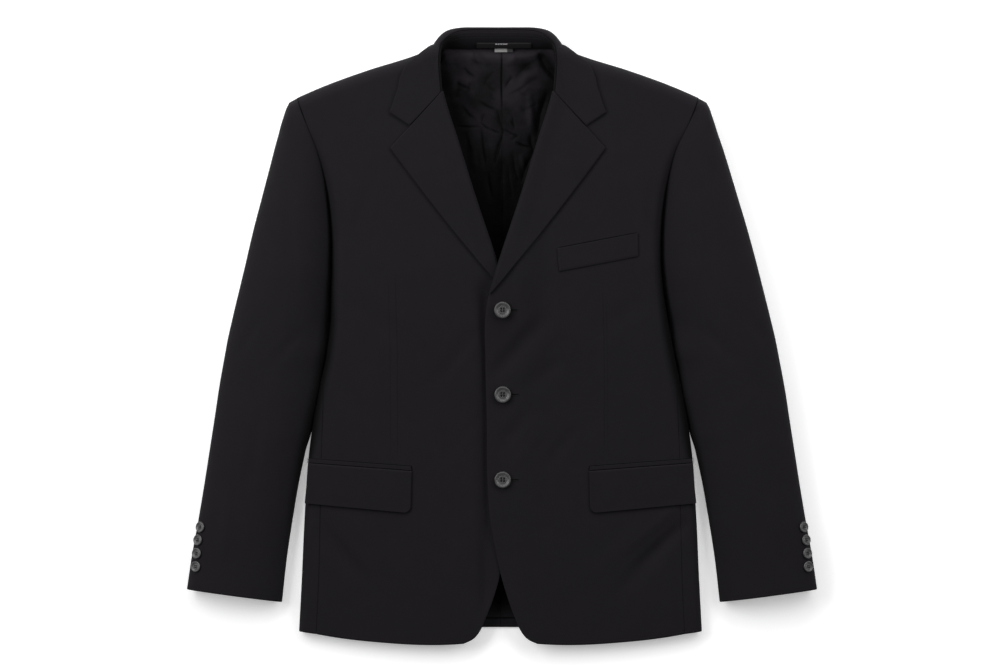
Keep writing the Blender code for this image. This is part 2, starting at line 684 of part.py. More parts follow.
def collar_rows():
    """Stations of the collar from the right gorge round the back of the neck to the left."""
    steps = np.array([0, 0.7, 1.4, 2, 2.5, 3, 3.5, 4, 4.5, 5, 5.5, 6, 7, 7.5, 8])
    index = np.arange(len(COLLAR["out"]), dtype=float)
    half = {name: follow(index, values, steps) for name, values in COLLAR.items()}
    both = {}
    for name, values in half.items():
        sign = -1 if name in ("out", "heading") else 1
        both[name] = np.concatenate([sign * values[:0:-1], values])[:, None]
    both["station"] = np.concatenate([-steps[:0:-1], steps])[:, None]
    return both


def collar_rest(x, up):
    """Least height of the middle of the collar's wall where it lies over the front's shoulder."""
    out = np.abs(x)
    spare = 3 * SEAM + FOLDED / 2 + 0.5
    level = np.maximum(up - spare, 0)
    clear = front_face(RIGHT, out, level) + spare
    return np.where(up - spare < shoulder_line(out), clear, 0.0)


def stand_grid(shares):
    """Middle of the stand's wall, from its foot up to the crest of the roll."""
    rows = collar_rows()
    angle = np.pi / 2 * shares
    run = rows["foot"] * np.cos(angle) ** 1.3
    heading = np.radians(rows["heading"])
    x = rows["out"] - np.sin(heading) * run
    up = rows["up"] - np.cos(heading) * run
    z = rows["foot_z"] + (rows["z"] - rows["foot_z"]) * np.sin(angle) ** 1.3
    return x, up, z


def fall_grid(shares):
    """Middle of the fall's wall, from the crest down to its outer edge."""
    rows = collar_rows()
    heading = np.radians(rows["heading"])
    fast = np.clip(shares / 0.6, 0, 1)
    run = rows["bulge"] * np.sin(np.pi * fast) + rows["reach"] * shares ** 1.35
    run = run + SEAM * (1 - shares)
    x = rows["out"] + np.sin(heading) * run
    up = rows["up"] + np.cos(heading) * run
    z = rows["edge_z"] + (rows["z"] - rows["edge_z"]) * np.cos(np.pi / 2 * fast) ** 2
    last = ease(np.abs(rows["station"]) - 7.0)
    on_gorge = np.clip(shares / NOTCH_SHARE, 0, 1)
    past = np.clip((shares - NOTCH_SHARE) / (1 - NOTCH_SHARE), 0, 1)
    out = np.abs(rows["out"])
    end_out = out + (NOTCH[0] - out) * on_gorge + (COLLAR_TIP[0] - NOTCH[0]) * past
    end_up = rows["up"] + (NOTCH[1] - rows["up"]) * on_gorge + (COLLAR_TIP[1] - NOTCH[1]) * past
    x = x + (np.sign(rows["station"]) * end_out - x) * last
    up = up + (end_up - up) * last
    over = np.abs(rows["station"]) > 4.2
    return x, up, np.where(over, np.maximum(z, collar_rest(x, up)), z)


def build_collar():
    """Stand and fall of the collar, each in one piece round the neck."""
    x, up, z = stand_grid(np.linspace(0, 1, 6))
    stand = place(1, x, up, z)

    def square_top(normal):
        normal[:, -1] = (0, 0, 1)

    def square_start(normal):
        normal[:, 0] = (0, 0, 1)

    wall("collar_stand", stand, FOLDED, (0, -0.5, 1), "suiting", FOLDED / 2, square_top)
    x, up, z = fall_grid(np.array([0, 0.1, 0.2, 0.3, 0.4, 0.52, NOTCH_SHARE, 0.76, 0.88, 1]))
    fall = place(1, x, up, z)
    wall("collar_fall", fall, FOLDED, (0, 0.5, 1), "suiting", FOLDED / 2, square_start)


def patch(name, side, corners, rows, columns, thickness, corner=0.0):
    """A flat piece sewn on a front: a four-cornered patch that follows its outer face.

    Its corners run from the lower one at the side to the lower inner one, which a radius of
    `corner` rounds off, and on round the patch. rows are shares of its depth, from its lower edge.
    """
    (a, b, c, d) = (np.array(point) for point in corners)
    from_edge = np.clip(corner - rows * np.hypot(*(c - b)), 0, corner)
    pulled = (corner - np.sqrt(corner ** 2 - from_edge ** 2)) / np.hypot(*(b - a))
    rows = rows[:, None, None]
    across = np.linspace(0, 1, columns)[None, :, None] * (1 - pulled[:, None, None])
    plan = (a * (1 - across) + b * across) * (1 - rows) + (d * (1 - across) + c * across) * rows
    out, up = plan[..., 0], plan[..., 1]
    face = place(side, out, up, front_face(side, out, up))
    wall(name, face, thickness, (0, 0, 1), "suiting", 2 * SEAM + thickness)


def build_pockets(side):
    """Flap and jetting of one side's hip pocket."""
    name = SIDE_NAMES[side]
    patch(f"flap_{name}", side, FLAP, FLAP_ROWS, 12, FOLDED, FLAP_CORNER)
    patch(f"jet_{name}", side, JET, np.linspace(0, 1, 2), 12, CLOTH)


def build_welt():
    """Breast pocket welt on the left front."""
    patch("breast_welt", LEFT, WELT, np.linspace(0, 1, 4), 9, FOLDED)


def turned(name, profile, sides):
    """Closed mesh of a profile of radius and height turned about the Z axis, in millimetres."""
    mesh = bpy.data.meshes.new(name)
    shell = bmesh.new()
    rings = []
    for radius, height in profile:
        if radius == 0:
            rings.append([shell.verts.new((0, 0, height * MM))])
            continue
        angles = [2 * math.pi * step / sides for step in range(sides)]
        rings.append([shell.verts.new((radius * math.cos(a) * MM, radius * math.sin(a) * MM,
                                       height * MM)) for a in angles])
    for lower, upper in zip(rings[:-1], rings[1:]):
        for step in range(sides):
            ahead = (step + 1) % sides
            corners = [lower[step % len(lower)], lower[ahead % len(lower)],
                       upper[ahead % len(upper)], upper[step % len(upper)]]
            unique = list(dict.fromkeys(corners))
            shell.faces.new(unique)
    bmesh.ops.recalc_face_normals(shell, faces=shell.faces)
    shell.to_mesh(mesh)
    shell.free()
    return mesh


def button_mesh(name, across, sides):
    """A sew-through button: rounded rim round a sunk middle."""
    radius = across / 2
    thick = BUTTON_THICK * across
    profile = (
        (0, 0),
        (0.80 * radius, 0),
        (radius, 0.45 * thick),
        (0.93 * radius, thick),
        (0.80 * radius, thick),
        (0.68 * radius, 0.68 * thick),
        (0, 0.66 * thick),
    )
    return turned(name, profile, sides)


def holes_cutter(name, across):
    """Four pins in a square, which cut the thread holes of a button."""
    mesh = bpy.data.meshes.new(name)
    pins = bmesh.new()
    pitch = 0.105 * across
    for x_sign in (-1, 1):
        for y_sign in (-1, 1):
            shift = Matrix.Translation((x_sign * pitch * MM, y_sign * pitch * MM, 0))
            bmesh.ops.create_cone(pins, cap_ends=True, segments=6, radius1=0.045 * across * MM,
                                  radius2=0.045 * across * MM, depth=across * MM, matrix=shift)
    pins.to_mesh(mesh)
    pins.free()
    cutter = bpy.data.objects.new(name, mesh)
    bpy.context.collection.objects.link(cutter)
    cutter.hide_render = True
    cutter.display_type = "WIRE"
    return cutter


def seat(piece, point, normal, gap=SEAM):
    """Stand a piece, with its Z axis along a normal, just clear of a point of the cloth."""
    turn = Vector(normal).to_track_quat("Z", "Y").to_matrix().to_4x4()
    spot = Vector(point) + Vector(normal) * gap * MM
    piece.matrix_world = Matrix.Translation(spot) @ turn


def build_front_buttons():
    """The three buttons of the closing, sewn on where the left front laps over."""
    for number, level in enumerate(BUTTON_LEVELS, start=1):
        name = f"front_button_{number}"
        piece = add_object(name, button_mesh(name, BUTTON, 18), "button")
        around = np.radians(np.arange(0, 360, 30))
        out = BUTTON_OUT + BUTTON / 2 * np.cos(around)
        up = level + BUTTON / 2 * np.sin(around)
        top = max(front_face(LEFT, out, up).max(), front_face(LEFT, BUTTON_OUT, level))
        point = place(LEFT, BUTTON_OUT, level, top)
        seat(piece, point, (0, 0, 1))
        cutter = holes_cutter(f"{name}_holes", BUTTON)
        cutter.matrix_world = piece.matrix_world
        cut = piece.modifiers.new("thread holes", "BOOLEAN")
        cut.operation = "DIFFERENCE"
        cut.object = cutter


def build_cuff_buttons(side):
    """Four small buttons along the outer seam of the cuff, facing out from its rounded side."""
    out, up, z = topsleeve_grid(side, 61)
    face = place(side, out, up, z)
    normals = grid_normals(face, (0, 0, 1))
    for number, (button_out, button_up) in enumerate(zip(*CUFF_BUTTON_ROWS.values()), start=1):
        row = np.interp(-button_up, -up[:, 5], np.arange(len(up)))
        low = int(row)
        blend = row - low
        line = face[low] * (1 - blend) + face[low + 1] * blend
        leans = normals[low] * (1 - blend) + normals[low + 1] * blend
        wanted = place(side, button_out, button_up, 0.0)[0]
        column = int(np.argmin(np.abs(line[:, 0] - wanted)))
        name = f"cuff_button_{SIDE_NAMES[side]}_{number}"
        piece = add_object(name, button_mesh(name, CUFF_BUTTON, 12), "button")
        seat(piece, line[column], leans[column] / np.linalg.norm(leans[column]))


def build_neck_trim():
    """Hanger loop on the stand and the bare label below the neck seam."""
    x, up, z = stand_grid(np.linspace(*LOOP_SHARES, 3))
    middle = slice(len(x) // 2 - 2, len(x) // 2 + 3)
    face = place(1, x[middle] * LOOP_WIDEN + LOOP_SHIFT, up[middle], z[middle])
    wall("hanger_loop", face, LOOP, (0, -0.5, 1), "suiting", FOLDED / 2 + LOOP_GAP + LOOP)
    rows = np.linspace(*LABEL_UP, 3)[:, None]
    columns = np.linspace(*LABEL_X, 4)
    high = LABEL_RISE + folds(LINING_FOLDS, columns, rows).max()
    wall("neck_label", place(1, columns, rows, high), LABEL, (0, 0, 1), "label")


def clear_scene():
    """Remove the objects that the file opens with."""
    for thing in list(bpy.data.objects):
        bpy.data.objects.remove(thing, do_unlink=True)


def main():
    """Build every piece of the jacket."""
    clear_scene()
    for side in (RIGHT, LEFT):
        build_front(side)
        build_side(side)
        build_back(side)
        build_lining(side)
        build_sleeve(side)
        build_lapel(side)
        build_pockets(side)
        build_cuff_buttons(side)
    build_collar()
    build_welt()
    build_front_buttons()
    build_neck_trim()


main()
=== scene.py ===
"""The looks of a suit jacket that lies buttoned on a pale floor, seen from straight above.

Places are worked out in millimetres: `out` runs from the centre front towards either side, `up`
from the lowest point of the front hem towards the collar, and z up from the floor. Sides are the
wearer's, so the left front, which laps over, is at +X. Each cut and sewn piece is a thin rounded
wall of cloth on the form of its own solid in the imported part.
"""

import math

import bpy
import numpy as np
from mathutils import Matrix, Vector


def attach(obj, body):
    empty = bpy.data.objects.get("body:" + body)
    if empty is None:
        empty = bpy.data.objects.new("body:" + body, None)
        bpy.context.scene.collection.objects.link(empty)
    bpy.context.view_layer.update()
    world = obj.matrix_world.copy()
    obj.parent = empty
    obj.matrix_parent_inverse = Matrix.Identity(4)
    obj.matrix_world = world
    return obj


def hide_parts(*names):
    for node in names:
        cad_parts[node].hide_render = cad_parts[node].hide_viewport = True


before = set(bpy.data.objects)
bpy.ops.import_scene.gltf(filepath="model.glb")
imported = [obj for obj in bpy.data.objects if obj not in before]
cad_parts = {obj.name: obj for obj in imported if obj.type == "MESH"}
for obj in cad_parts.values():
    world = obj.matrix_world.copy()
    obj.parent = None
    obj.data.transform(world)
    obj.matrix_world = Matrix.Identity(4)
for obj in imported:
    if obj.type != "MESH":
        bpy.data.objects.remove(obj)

bl_info = {
    "name": "Suit jacket",
    "version": (1, 0, 0),
    "blender": (4, 5, 0),
    "location": "3D View > Sidebar > Jacket",
    "description": "Builds the cloth, trim and stage of a suit jacket laid flat",
    "category": "Object",
}

MM = 0.001
RIGHT = -1
LEFT = 1
SIDE_NAMES = {RIGHT: "right", LEFT: "left"}

# Driving dimensions, in millimetres. Two numbers under one name say where a ramp begins and over
# how much it eases in, and four also say where it ends and over how much it eases out again.
LENGTH = 771.0  # collar to the lowest point of the front hem
SEAM = 0.3  # between two layers that lie on each other
TUCK = 0.3  # how far the sleeve's edge is pushed in under the armhole's
CLOTH = 1.6  # wall of the back, sides and sleeves
FRONT = 2.0  # wall of the fronts, with their interlining
FOLDED = 2.4  # wall of lapel, collar and flap, two layers of cloth
LINING = 1.0  # wall of the back lining
SHOULDER_ROLL = 16.0  # how far in the cloth turns over at the shoulder line
SHOULDER_SEAM = 17.0  # height of the shoulder seam, at the outline
HEM = 17.5  # level of the hem at the side seams
UNDERARM = 361.0  # level where the armhole is lowest
SHOULDER = 683.0  # level where it meets the end of the shoulder
TURNED = 500.0  # level up to which the panels' side edges turn under
SIDE_RADIUS = 0.55  # of the roll at the side, as a share of the front's height
CAMBER = 3.0  # rise of the fronts towards their centre
LAP = 2.6  # the left front lies this far above the right one
BREAK = 436.0  # level where the lapels begin to turn
BREAK_RISE = 7.8  # what the turned edges under it add to the left front there,
BREAK_BELL = (462.0, 65.0)  # and the middle and spread of the levels where they do
LAP_FADE = (22.0, 45.0)  # out from the centre, where the left front comes down again,
LAP_END = (505.0, 100.0)  # and up the front
ROLL_LIFT = 3.0  # how far the lapel and collar stand off the front along their roll
ROLL_WIDTH = 28.0  # and how wide the band is in which they come down to it
ROLL_RADIUS = 3.2  # of the lapel's fold
FACING = 18.0  # how far the lapel's facing reaches in behind the fold,
FACING_LEAST = 0.22  # as a share of that at the break,
FACING_GROWS = (0.25, 0.3)  # and the shares of the lapel over which it comes in full
LAPEL_WIDE = 40.0  # width from which the lapel stands off in full
LINING_WIDTH = 118.0  # out from the centre to the edge of the back lining that is built
LINING_HEM = 34.5  # level of its hem
BUTTON = 20.7  # front button, across
CUFF_BUTTON = 13.5  # cuff button, across
BUTTON_THICK = 0.17  # as a share of its width
LOOP = 1.0  # wall of the hanger loop
LABEL = 0.8  # wall of the label
BELLY = 3.0  # swell of the lapel's outer edge

# The edge of the front keeps inside the rolled edge of the lapel: how far, and the ramp of levels.
INSETS = ((4.0, BREAK - 3.0, 15.0), (1.5, 670.0, 20.0), (7.0, 725.0, 20.0))

# Spacing of a panel's rows, and how closely its columns crowd towards the side: share =
# 1 - (1 - s)^crowd.
FRONT_SPACING = 3.3
BACK_SPACING = 5.0
FRONT_CROWD = 1.35
BACK_CROWD = 1.5

# Where each front button is sewn, up from the hem, and how far from the centre front.
BUTTON_LEVELS = (207.3, 313.4, 418.5)
BUTTON_OUTS = (2.8, 2.8, 4.0)


def table(columns, *rows):
    """Rows of numbers under named columns, one array for each column."""
    return dict(zip(columns.split(), np.array(rows, dtype=float).T))


# The body from the hem to the shoulder. out: its outline, and above the underarm the armhole
# seam. height: of the front's outer face. turn and under: how far, in degrees, the front and the
# back have rolled towards each other at that edge. strip and tail: girth from the outline to the
# seam on the front and on the back, between which the side panel lies.
BODY = table(
    "up out height turn under strip tail",
    (17.5, 251.5, 16, 90, 90, 27, 100), (80, 248.2, 17, 90, 90, 27, 99),
    (160, 244.5, 19, 90, 90, 26, 93), (240, 239, 22, 90, 90, 23, 80),
    (306, 229.2, 25, 90, 90, 16, 57), (361, 217.3, 29, 90, 90, 2, 2),
    (401, 211.6, 32, 66, 52, 2, 2), (440, 207.8, 34, 44, 22, 2, 2), (475, 205.5, 36, 28, 5, 2, 2),
    (512, 205.5, 37, 17, 0, 2, 2), (549, 208.4, 38.5, 10, 0, 2, 2), (583, 214, 39.5, 6, 0, 2, 2),
    (620, 224.5, 40, 3, 0, 2, 2), (652, 238.5, 40, 0, 0, 2, 2), (683, 250, 40, 0, 0, 2, 2))

# The front edge: for a level at the side, the height and the place of the same row's inner end.
# Above the break the place is the lapel's roll.
FRONT_EDGE = table(
    "level up out",
    (17.5, 2.5, 46), (24, 7, 36), (34, 16, 27), (50, 38, 17), (80, 74, 4.5), (120, 116, -5.5),
    (160, 158, -13), (200, 200, -16), (280, 280, -17), (361, 363, -18.7), (401, 403, -18),
    (420, 423, -15.5), (440, 448, -9.8), (466, 480, -1.5), (493, 512, 8.5), (520, 548, 20.5),
    (549, 588, 34), (583, 628, 47), (620, 672, 62), (637, 694, 68.5), (652, 713, 73),
    (666, 729.5, 73.5), (677, 739.6, 73.2), (683, 744.4, 73))
HEM_MIDDLE = 148.0  # the front hem sweeps down between its corner and the side: middle,
HEM_HALF = 102.0  # half length
HEM_SWEEP = 6.9  # and depth of that sweep,
HEM_FADE = 60.0  # and the height over which it fades out
BOW_START = 620.0  # level where the front's rows begin to follow the shoulder's bow

# The rolled edge of the lapel, from the break to the gorge.
ROLL = table(
    "up out",
    (436, -13), (487, 3.2), (560, 27.6), (631, 49.6), (691, 67.8), (718, 73), (748, 72.5))
LAPEL_START = {LEFT: 0.012, RIGHT: 0.11}  # share of the roll below which none shows
LAPEL_FOOT = -13.0  # out to the lapel's outer edge at the break
# Plan places, out and up.
LAPEL_TIP = (134.0, 619.5)
NOTCH = (109.6, 647.4)
GORGE = (68.6, 691.5)
COLLAR_TIP = (134.5, 663.8)
NOTCH_SHARE = 0.64  # of the collar's front edge, from its roll to the notch
SHOULDER_NECK = (75.0, 748.0)
SHOULDER_END = (250.0, SHOULDER)
SHOULDER_WIDTH = SHOULDER_END[0] - SHOULDER_NECK[0]
SHOULDER_FALL = (SHOULDER_NECK[1] - SHOULDER_END[1]) / SHOULDER_WIDTH
SHOULDER_BOW = 2.4  # how far the shoulder's outline swells above a straight line,
COLLAR_PRESS = 1.85  # and how far the collar presses it down beside the neck
COLLAR_PRESS_OUTS = (88.0, 14.0, 106.0, 56.0)
NECKLINE = 744.6  # level of the back's own upper edge
NECK_CORNER = 87.0  # out to where the back's neckline meets its shoulder
BACK_SQUARE = 549.0  # level above which the back's rows turn to its upper edge
BACK_HEM = 5.0  # how far its hem is raised at the centre,
BACK_HEM_FADE = 6.5  # and the height over which that fades out

# The upper edge of the lining, which passes just under the foot of the collar's stand.
NECK_SEAM = table(
    "out up",
    (0, 745.3), (17, 745.3), (34, 746.8), (51, 751.8), (67, 749.8), (84, 742), (118, 742))

# The sleeve, a row for each cross line: level and place of its inner end (out is read from the
# body's table above the underarm), its outer end, the height of its crest and how far the cloth
# underneath is lifted off the floor at the sleeve head.
SLEEVE = table(
    "inner inner_out outer_out outer_up crest lift",
    (683, 250, 260, 677.6, 17.9, 16.2), (677, 248.5, 263.8, 670, 31, 6),
    (666, 244.9, 267, 660, 38.5, 1), (652, 238.5, 270.8, 648, 42, 0),
    (637, 231.5, 274.2, 636, 43.5, 0), (620, 224.5, 279.2, 620, 45, 0),
    (583, 214, 288.5, 587, 47, 0), (549, 208.4, 298, 553, 48.5, 0),
    (520, 205.5, 306.2, 524, 49, 0), (493, 205.2, 313.2, 497, 49, 0),
    (466, 205.9, 320.1, 469, 49, 0), (440, 208.6, 326.8, 442, 48, 0),
    (420, 210.7, 331.8, 422, 47.5, 0), (401, 213.2, 336.3, 403, 47, 0),
    (381, 216, 341, 383, 46, 0), (361, 217.3, 345, 362, 45, 0), (320, 226.4, 352.2, 323, 43, 0),
    (280, 235.8, 358.3, 283, 42, 0), (238, 245, 365, 240, 41, 0), (200, 253, 371.3, 200, 39, 0),
    (156, 260.5, 378.5, 157, 38, 0), (108, 267.8, 386.5, 113, 36, 0),
    (54.4, 273.8, 392.9, 70.6, 35, 0))
SLEEVE_SPACING = 3.4  # of its rows
SLEEVE_FOLD = 11.0  # height of the sleeve's inner fold below the underarm
FOLD_JOIN = 20.0  # height below the underarm in which the fold rises to the seam
FOLD_TUCK = 0.6  # how far that fold is tucked in under the body
DEEP_TUCK = 2.2  # and how much more under the armhole,
DEEP_TUCK_START = (242.0, 25.0)
TUCK_END = (312.0, 44.0)
ARCH = {"outer": 2.3, "inner": 1.75}  # powers of the upper sleeve's arch
OUTER_EDGE = 0.45  # height of the outer fold, as a share of the crest's
UNDER_FLAT = 0.72  # share of the undersleeve's half width that lies flat
CUFF_BUTTON_ROWS = table(
    "out up",
    (375.4, 148.5), (377.4, 132.5), (379.2, 116), (380.9, 99.7))

# The collar, a row for each station from the centre back round to the gorge. out, up, z: the
# crest of its roll. heading: the way the fall hangs from it, in degrees from straight up. reach,
# edge_z: where the fall ends. bulge: how far it swells out on the way down. foot: place and height
# of the stand's foot, which runs straight along the neck seam and dips to the lining at its sides.
COLLAR = table(
    "out up z heading reach edge_z bulge foot_out foot_up foot_z",
    (0, 767, 26, 0, -21, 1.6, 5.5, 0, 745.1, 6.2),
    (26, 767, 26.5, 2, -20.5, 1.6, 5.5, 26, 745.2, 6.4),
    (46, 765.5, 29, 16, -18, 1.6, 6.5, 45, 745.1, 7.6),
    (60, 759.5, 34, 40, -7, 2.5, 8, 59.5, 745, 9.5), (70, 750, 40, 77, 5, 9, 6, 69.2, 744.6, 8.6),
    (72.6, 740, 45, 105.6, 31.6, 22, 2, 71.4, 740.6, 5),
    (73.6, 727, 47, 97.3, 40.8, 38, 0, 72.5, 728.6, 5.2),
    (72.6, 709, 47.5, 104.3, 52.3, 42, 0, 71.5, 708.8, 10.5),
    (70.9, 688.5, 47, 138, 60, 42, 0, 69.9, 687.7, 36))
MIRRORED = ("out", "heading", "foot_out")  # columns that change sign on the right side
STATION_STEPS = 13  # rows of the grid between two stations
NOTCH_STATION = 7.0  # from here on the fall's rows turn into the gorge and the notch
RESTING = (4.0, 0.4)  # stations from which the fall rests on the front's shoulder
# What trims the fall's outer edge: by how much, at which station and over what spread.
FALL_TRIMS = ((1.4, 4.1, 0.18), (-3.0, 4.6, 0.3))
# Painted shade on the stand: at the middle, what its sides add, their outs, and the levels where
# it ends.
STAND_SHADE = 0.24
STAND_SIDE_SHADE = 0.5
STAND_SIDES = (46.0, 18.0)
STAND_LIT = (758.0, 7.0)

# Hanger loop: shares of the stand's height, its stretch and shift sideways, and how far it
# stands off. Label: its ends along the world's X and up, and the height of its face.
LOOP_SHARES = (0.27, 0.505)
LOOP_WIDEN = 1.1
LOOP_SHIFT = 7.8
LOOP_GAP = 1.1
LOOP_FACE = FOLDED / 2 + LOOP_GAP + LOOP
LOOP_REACH = 16  # rows of the collar's grid from the centre back to either end
LABEL_X = (-3.9, 18.9)
LABEL_UP = (740.4, 745.2)
LABEL_RISE = 9.6
LABEL_SLOPE = 0.12
LABEL_BOW = 0.25
LABEL_SHADED_FROM = 0.016  # past so many metres along, painted shade darkens the label

# Corners of the pocket pieces, out and up: lower outer, lower inner, upper inner, upper outer.
FLAP = ((244.0, 178.0), (111.8, 165.6), (110.4, 218.2), (239.0, 228.0))
JET = ((239.5, 228.6), (110.4, 218.8), (111.2, 224.0), (239.5, 233.6))
WELT = ((175.0, 485.3), (75.5, 466.5), (73.5, 495.2), (174.5, 514.5))
WELT_CLOTH = 1.5  # wall of the welt, which is pressed flat
FLAP_CORNER = 8.0  # radius of its lower front corner
# Shares of the flap's height at which its rows lie.
FLAP_ROWS = np.array([0, 0.012, 0.045, 0.093, 0.155, 0.4, 0.7, 1.0])

# Folds and creases: both ends, x signed as the world's X.
RIDGE = "x0 up0 x1 up1 width height"

# The largest folds.
FRONT_FOLDS = table(
    RIDGE,
    (240, 165, 150, 70, 20, -1.8), (200, 172, 120, 92, 18, 1.2), (-30, 400, -90, 315, 16, -1),
    (-235, 150, -160, 75, 20, -1.4), (190, 440, 110, 380, 22, -1.4),
    (-190, 440, -115, 375, 22, -1.4))

# Shares of the girth between a side panel's seams that its columns lie at.
SIDE_SHARES = (0, 0.1, 0.16, 0.21, 0.26, 0.31, 0.36, 0.42, 0.6, 0.8, 1.0)
SIDE_EVENS = (200.0, 130.0)  # levels over which those columns become even,
SIDE_NARROWS = (340.0, 20.0)  # and over which the panel gives up half a seam at both sides

# The right front sinks a little under the edge of the left one, so far out on its own side.
LAP_EDGE = 17.0
LAP_DIP = 4.8
LAP_DIP_WIDTH = 8.5
LAP_DIP_LEVELS = (20.0, 60.0, 425.0, 40.0)

# The fronts sink so far towards the armhole seam, over such a width.
ARMHOLE_DIP = 18.0
ARMHOLE_DIP_WIDTH = 20.0
ARMHOLE_DIP_LEVELS = (UNDERARM, 45.0, 530.0, 130.0)

# The small sideways shift with which the body and the sleeves lie.
BODY_LEAN = table("up shift", (361.0, -1.9), (480.0, -5.0), (771.0, -5.3))
SLEEVE_LEAN = table("up shift", (300.0, 0.0), (475.0, -1.0), (650.0, -4.3))
LEAN_WIDTH = 70.0  # from the armhole out to where the sleeve has its own shift
SEAM_LEAN = 1.9  # how far more both armhole seams lie to the wearer's right
SEAM_LEAN_WIDTH = 28.0
SEAM_LEAN_LEVELS = (390.0, 60.0, 610.0, 60.0)

# The fold between body and sleeve: for a level, how far from it painted shade darkens the cloth
# on the sleeve and on the body, how much, and how much of the trench the sleeve keeps.
CREVICE = table(
    "up sleeve body shade trench",
    (40, 3, 1, 0.25, 0), (120, 7, 1, 0.4, 0), (200, 12, 2, 0.65, 0), (245, 15, 12, 0.9, 0),
    (270, 17, 16, 0.97, 1), (361, 16, 14, 0.98, 1), (401, 14, 12, 0.98, 1), (440, 11, 8, 0.97, 1),
    (480, 9, 6, 0.95, 1), (520, 6.5, 4, 0.9, 1), (549, 4.5, 3, 0.7, 0.7), (583, 3, 2, 0.4, 0.2),
    (620, 3, 2, 0.25, 0), (683, 2, 1.5, 0.2, 0))
TRENCH = 5.0  # how far in the sleeve's wall rises out of the fold
SHADE_LIFT = (3.0, 6.0)  # heights above the floor over which that shade comes in
# How far that painted shade reaches on each side's sleeve and body, as shares of the table's.
FOLD_REACH = {"sleeve": {RIGHT: 1.0, LEFT: 0.65}, "body": {RIGHT: 0.9, LEFT: 1.1}}

# Smaller creases.
FRONT_CREASES = table(
    RIDGE,
    (60, 415, -16, 328, 16, -3.4), (78, 362, 34, 318, 14, -1.4), (40, 300, -6, 238, 15, -1.7),
    (98, 278, 50, 216, 13, -1.2), (82, 408, 10, 318, 13, 0.9), (62, 282, 10, 214, 12, 0.6),
    (-24, 398, -74, 330, 9, -0.6), (-22, 290, -66, 240, 9, -0.5), (240, 162, 156, 84, 12, -2.4),
    (226, 180, 150, 112, 10, 1.2), (210, 120, 128, 52, 13, -0.8), (-232, 172, -176, 84, 13, -0.9),
    (-205, 150, -140, 62, 12, 0.6), (150, 610, 172, 520, 14, -0.8), (186, 600, 178, 500, 12, 0.7),
    (96, 590, 128, 548, 12, -0.5), (-150, 606, -176, 515, 14, -0.8),
    (-186, 590, -176, 490, 12, 0.6), (-128, 520, -90, 440, 15, -0.6), (60, 160, 84, 60, 15, 0.7),
    (-60, 200, -70, 70, 16, -0.6))
SLEEVE_CREASES = table(
    RIDGE,
    (300, 420, 332, 372, 12, -1.2), (250, 400, 292, 352, 12, -1), (262, 560, 258, 430, 13, -1),
    (302, 300, 312, 210, 14, -0.9), (338, 220, 344, 110, 12, 0.9), (286, 640, 262, 566, 14, -0.9),
    (-300, 412, -330, 356, 12, -1.2), (-246, 396, -290, 344, 12, -1),
    (-264, 570, -256, 440, 13, -1), (-300, 290, -316, 190, 14, -1),
    (-340, 200, -346, 100, 12, 0.8), (-280, 636, -260, 560, 14, -0.8))
LAPEL_CREASES = table(
    RIDGE,
    (60, 600, 112, 590, 16, 0.4), (40, 540, 70, 520, 12, -0.3), (-60, 600, -112, 588, 16, 0.4),
    (-44, 548, -72, 530, 12, -0.3))
FLAP_CREASES = table(
    RIDGE,
    (220, 205, 180, 180, 14, 0.5), (150, 210, 130, 172, 12, 0.4), (-215, 205, -190, 178, 14, 0.5),
    (-140, 208, -126, 172, 12, 0.3))
LINING_CREASES = table(
    RIDGE,
    (-49.4, 721.8, -33, 707.5, 4, -2), (-58.5, 683, -52.5, 707, 6, -2.2),
    (-40, 703, -42, 689, 3, -2), (-52, 674, -31.5, 653, 5, -1.8),
    (-60, 647.5, -26, 647.5, 2.4, -1.8), (-30, 679, -5, 666.5, 4, -2.2),
    (-22.5, 664, -26, 650, 2.6, -2.2), (-26.6, 649, -20.5, 592, 3.4, -2.8),
    (-18.2, 592, -13, 556, 4, -2.8), (-27, 652, -14, 642.5, 2.6, -2.2),
    (-16, 644.5, -2, 639, 2.6, -2), (-0.4, 748, -0.4, 660, 2, -3.6), (-7, 669, 2, 637, 3.2, -3),
    (2.4, 644, -10, 598, 3.6, -3.4), (-1.6, 610, 0, 520, 7, -3.6), (46, 736, 10, 704, 10, -2.2),
    (13, 711, 3, 695, 3, -2.2), (43, 741, 68, 706, 8, -4.4), (57, 696, 42, 632, 8, -4.6),
    (34, 640, 40.5, 612, 5, -3.4), (40, 620, 22, 574, 6, -3.6), (12.4, 661, 16.5, 643, 2.8, -2.4),
    (1.5, 644, 21, 634.5, 2.6, -2), (21, 637, 11, 630, 2.6, -1.6), (16, 628, 35.5, 620.5, 3, -3),
    (12, 618, 21, 576, 4.6, -2.2), (-10.5, 718, -25, 696, 5, -1.6),
    (-41, 731.5, -22, 724, 5, -1.4), (20, 692, 33, 684, 4, -1), (22, 676, 30, 662, 3.6, -1),
    (-16, 690, -8, 678, 3.6, -1), (-8, 560, 8, 470, 9, -1.6), (-58, 703, -38, 693, 3, -1.2),
    (8, 686, 37, 704, 3.6, -1.3), (-37, 744, -29, 720, 3.2, -1), (24, 667, 46, 677, 3, -1),
    (-22, 702, -6, 689, 3, -1.1), (-46, 642, -37, 610, 3, -1.1), (7, 602, 13, 556, 4, -1.3))

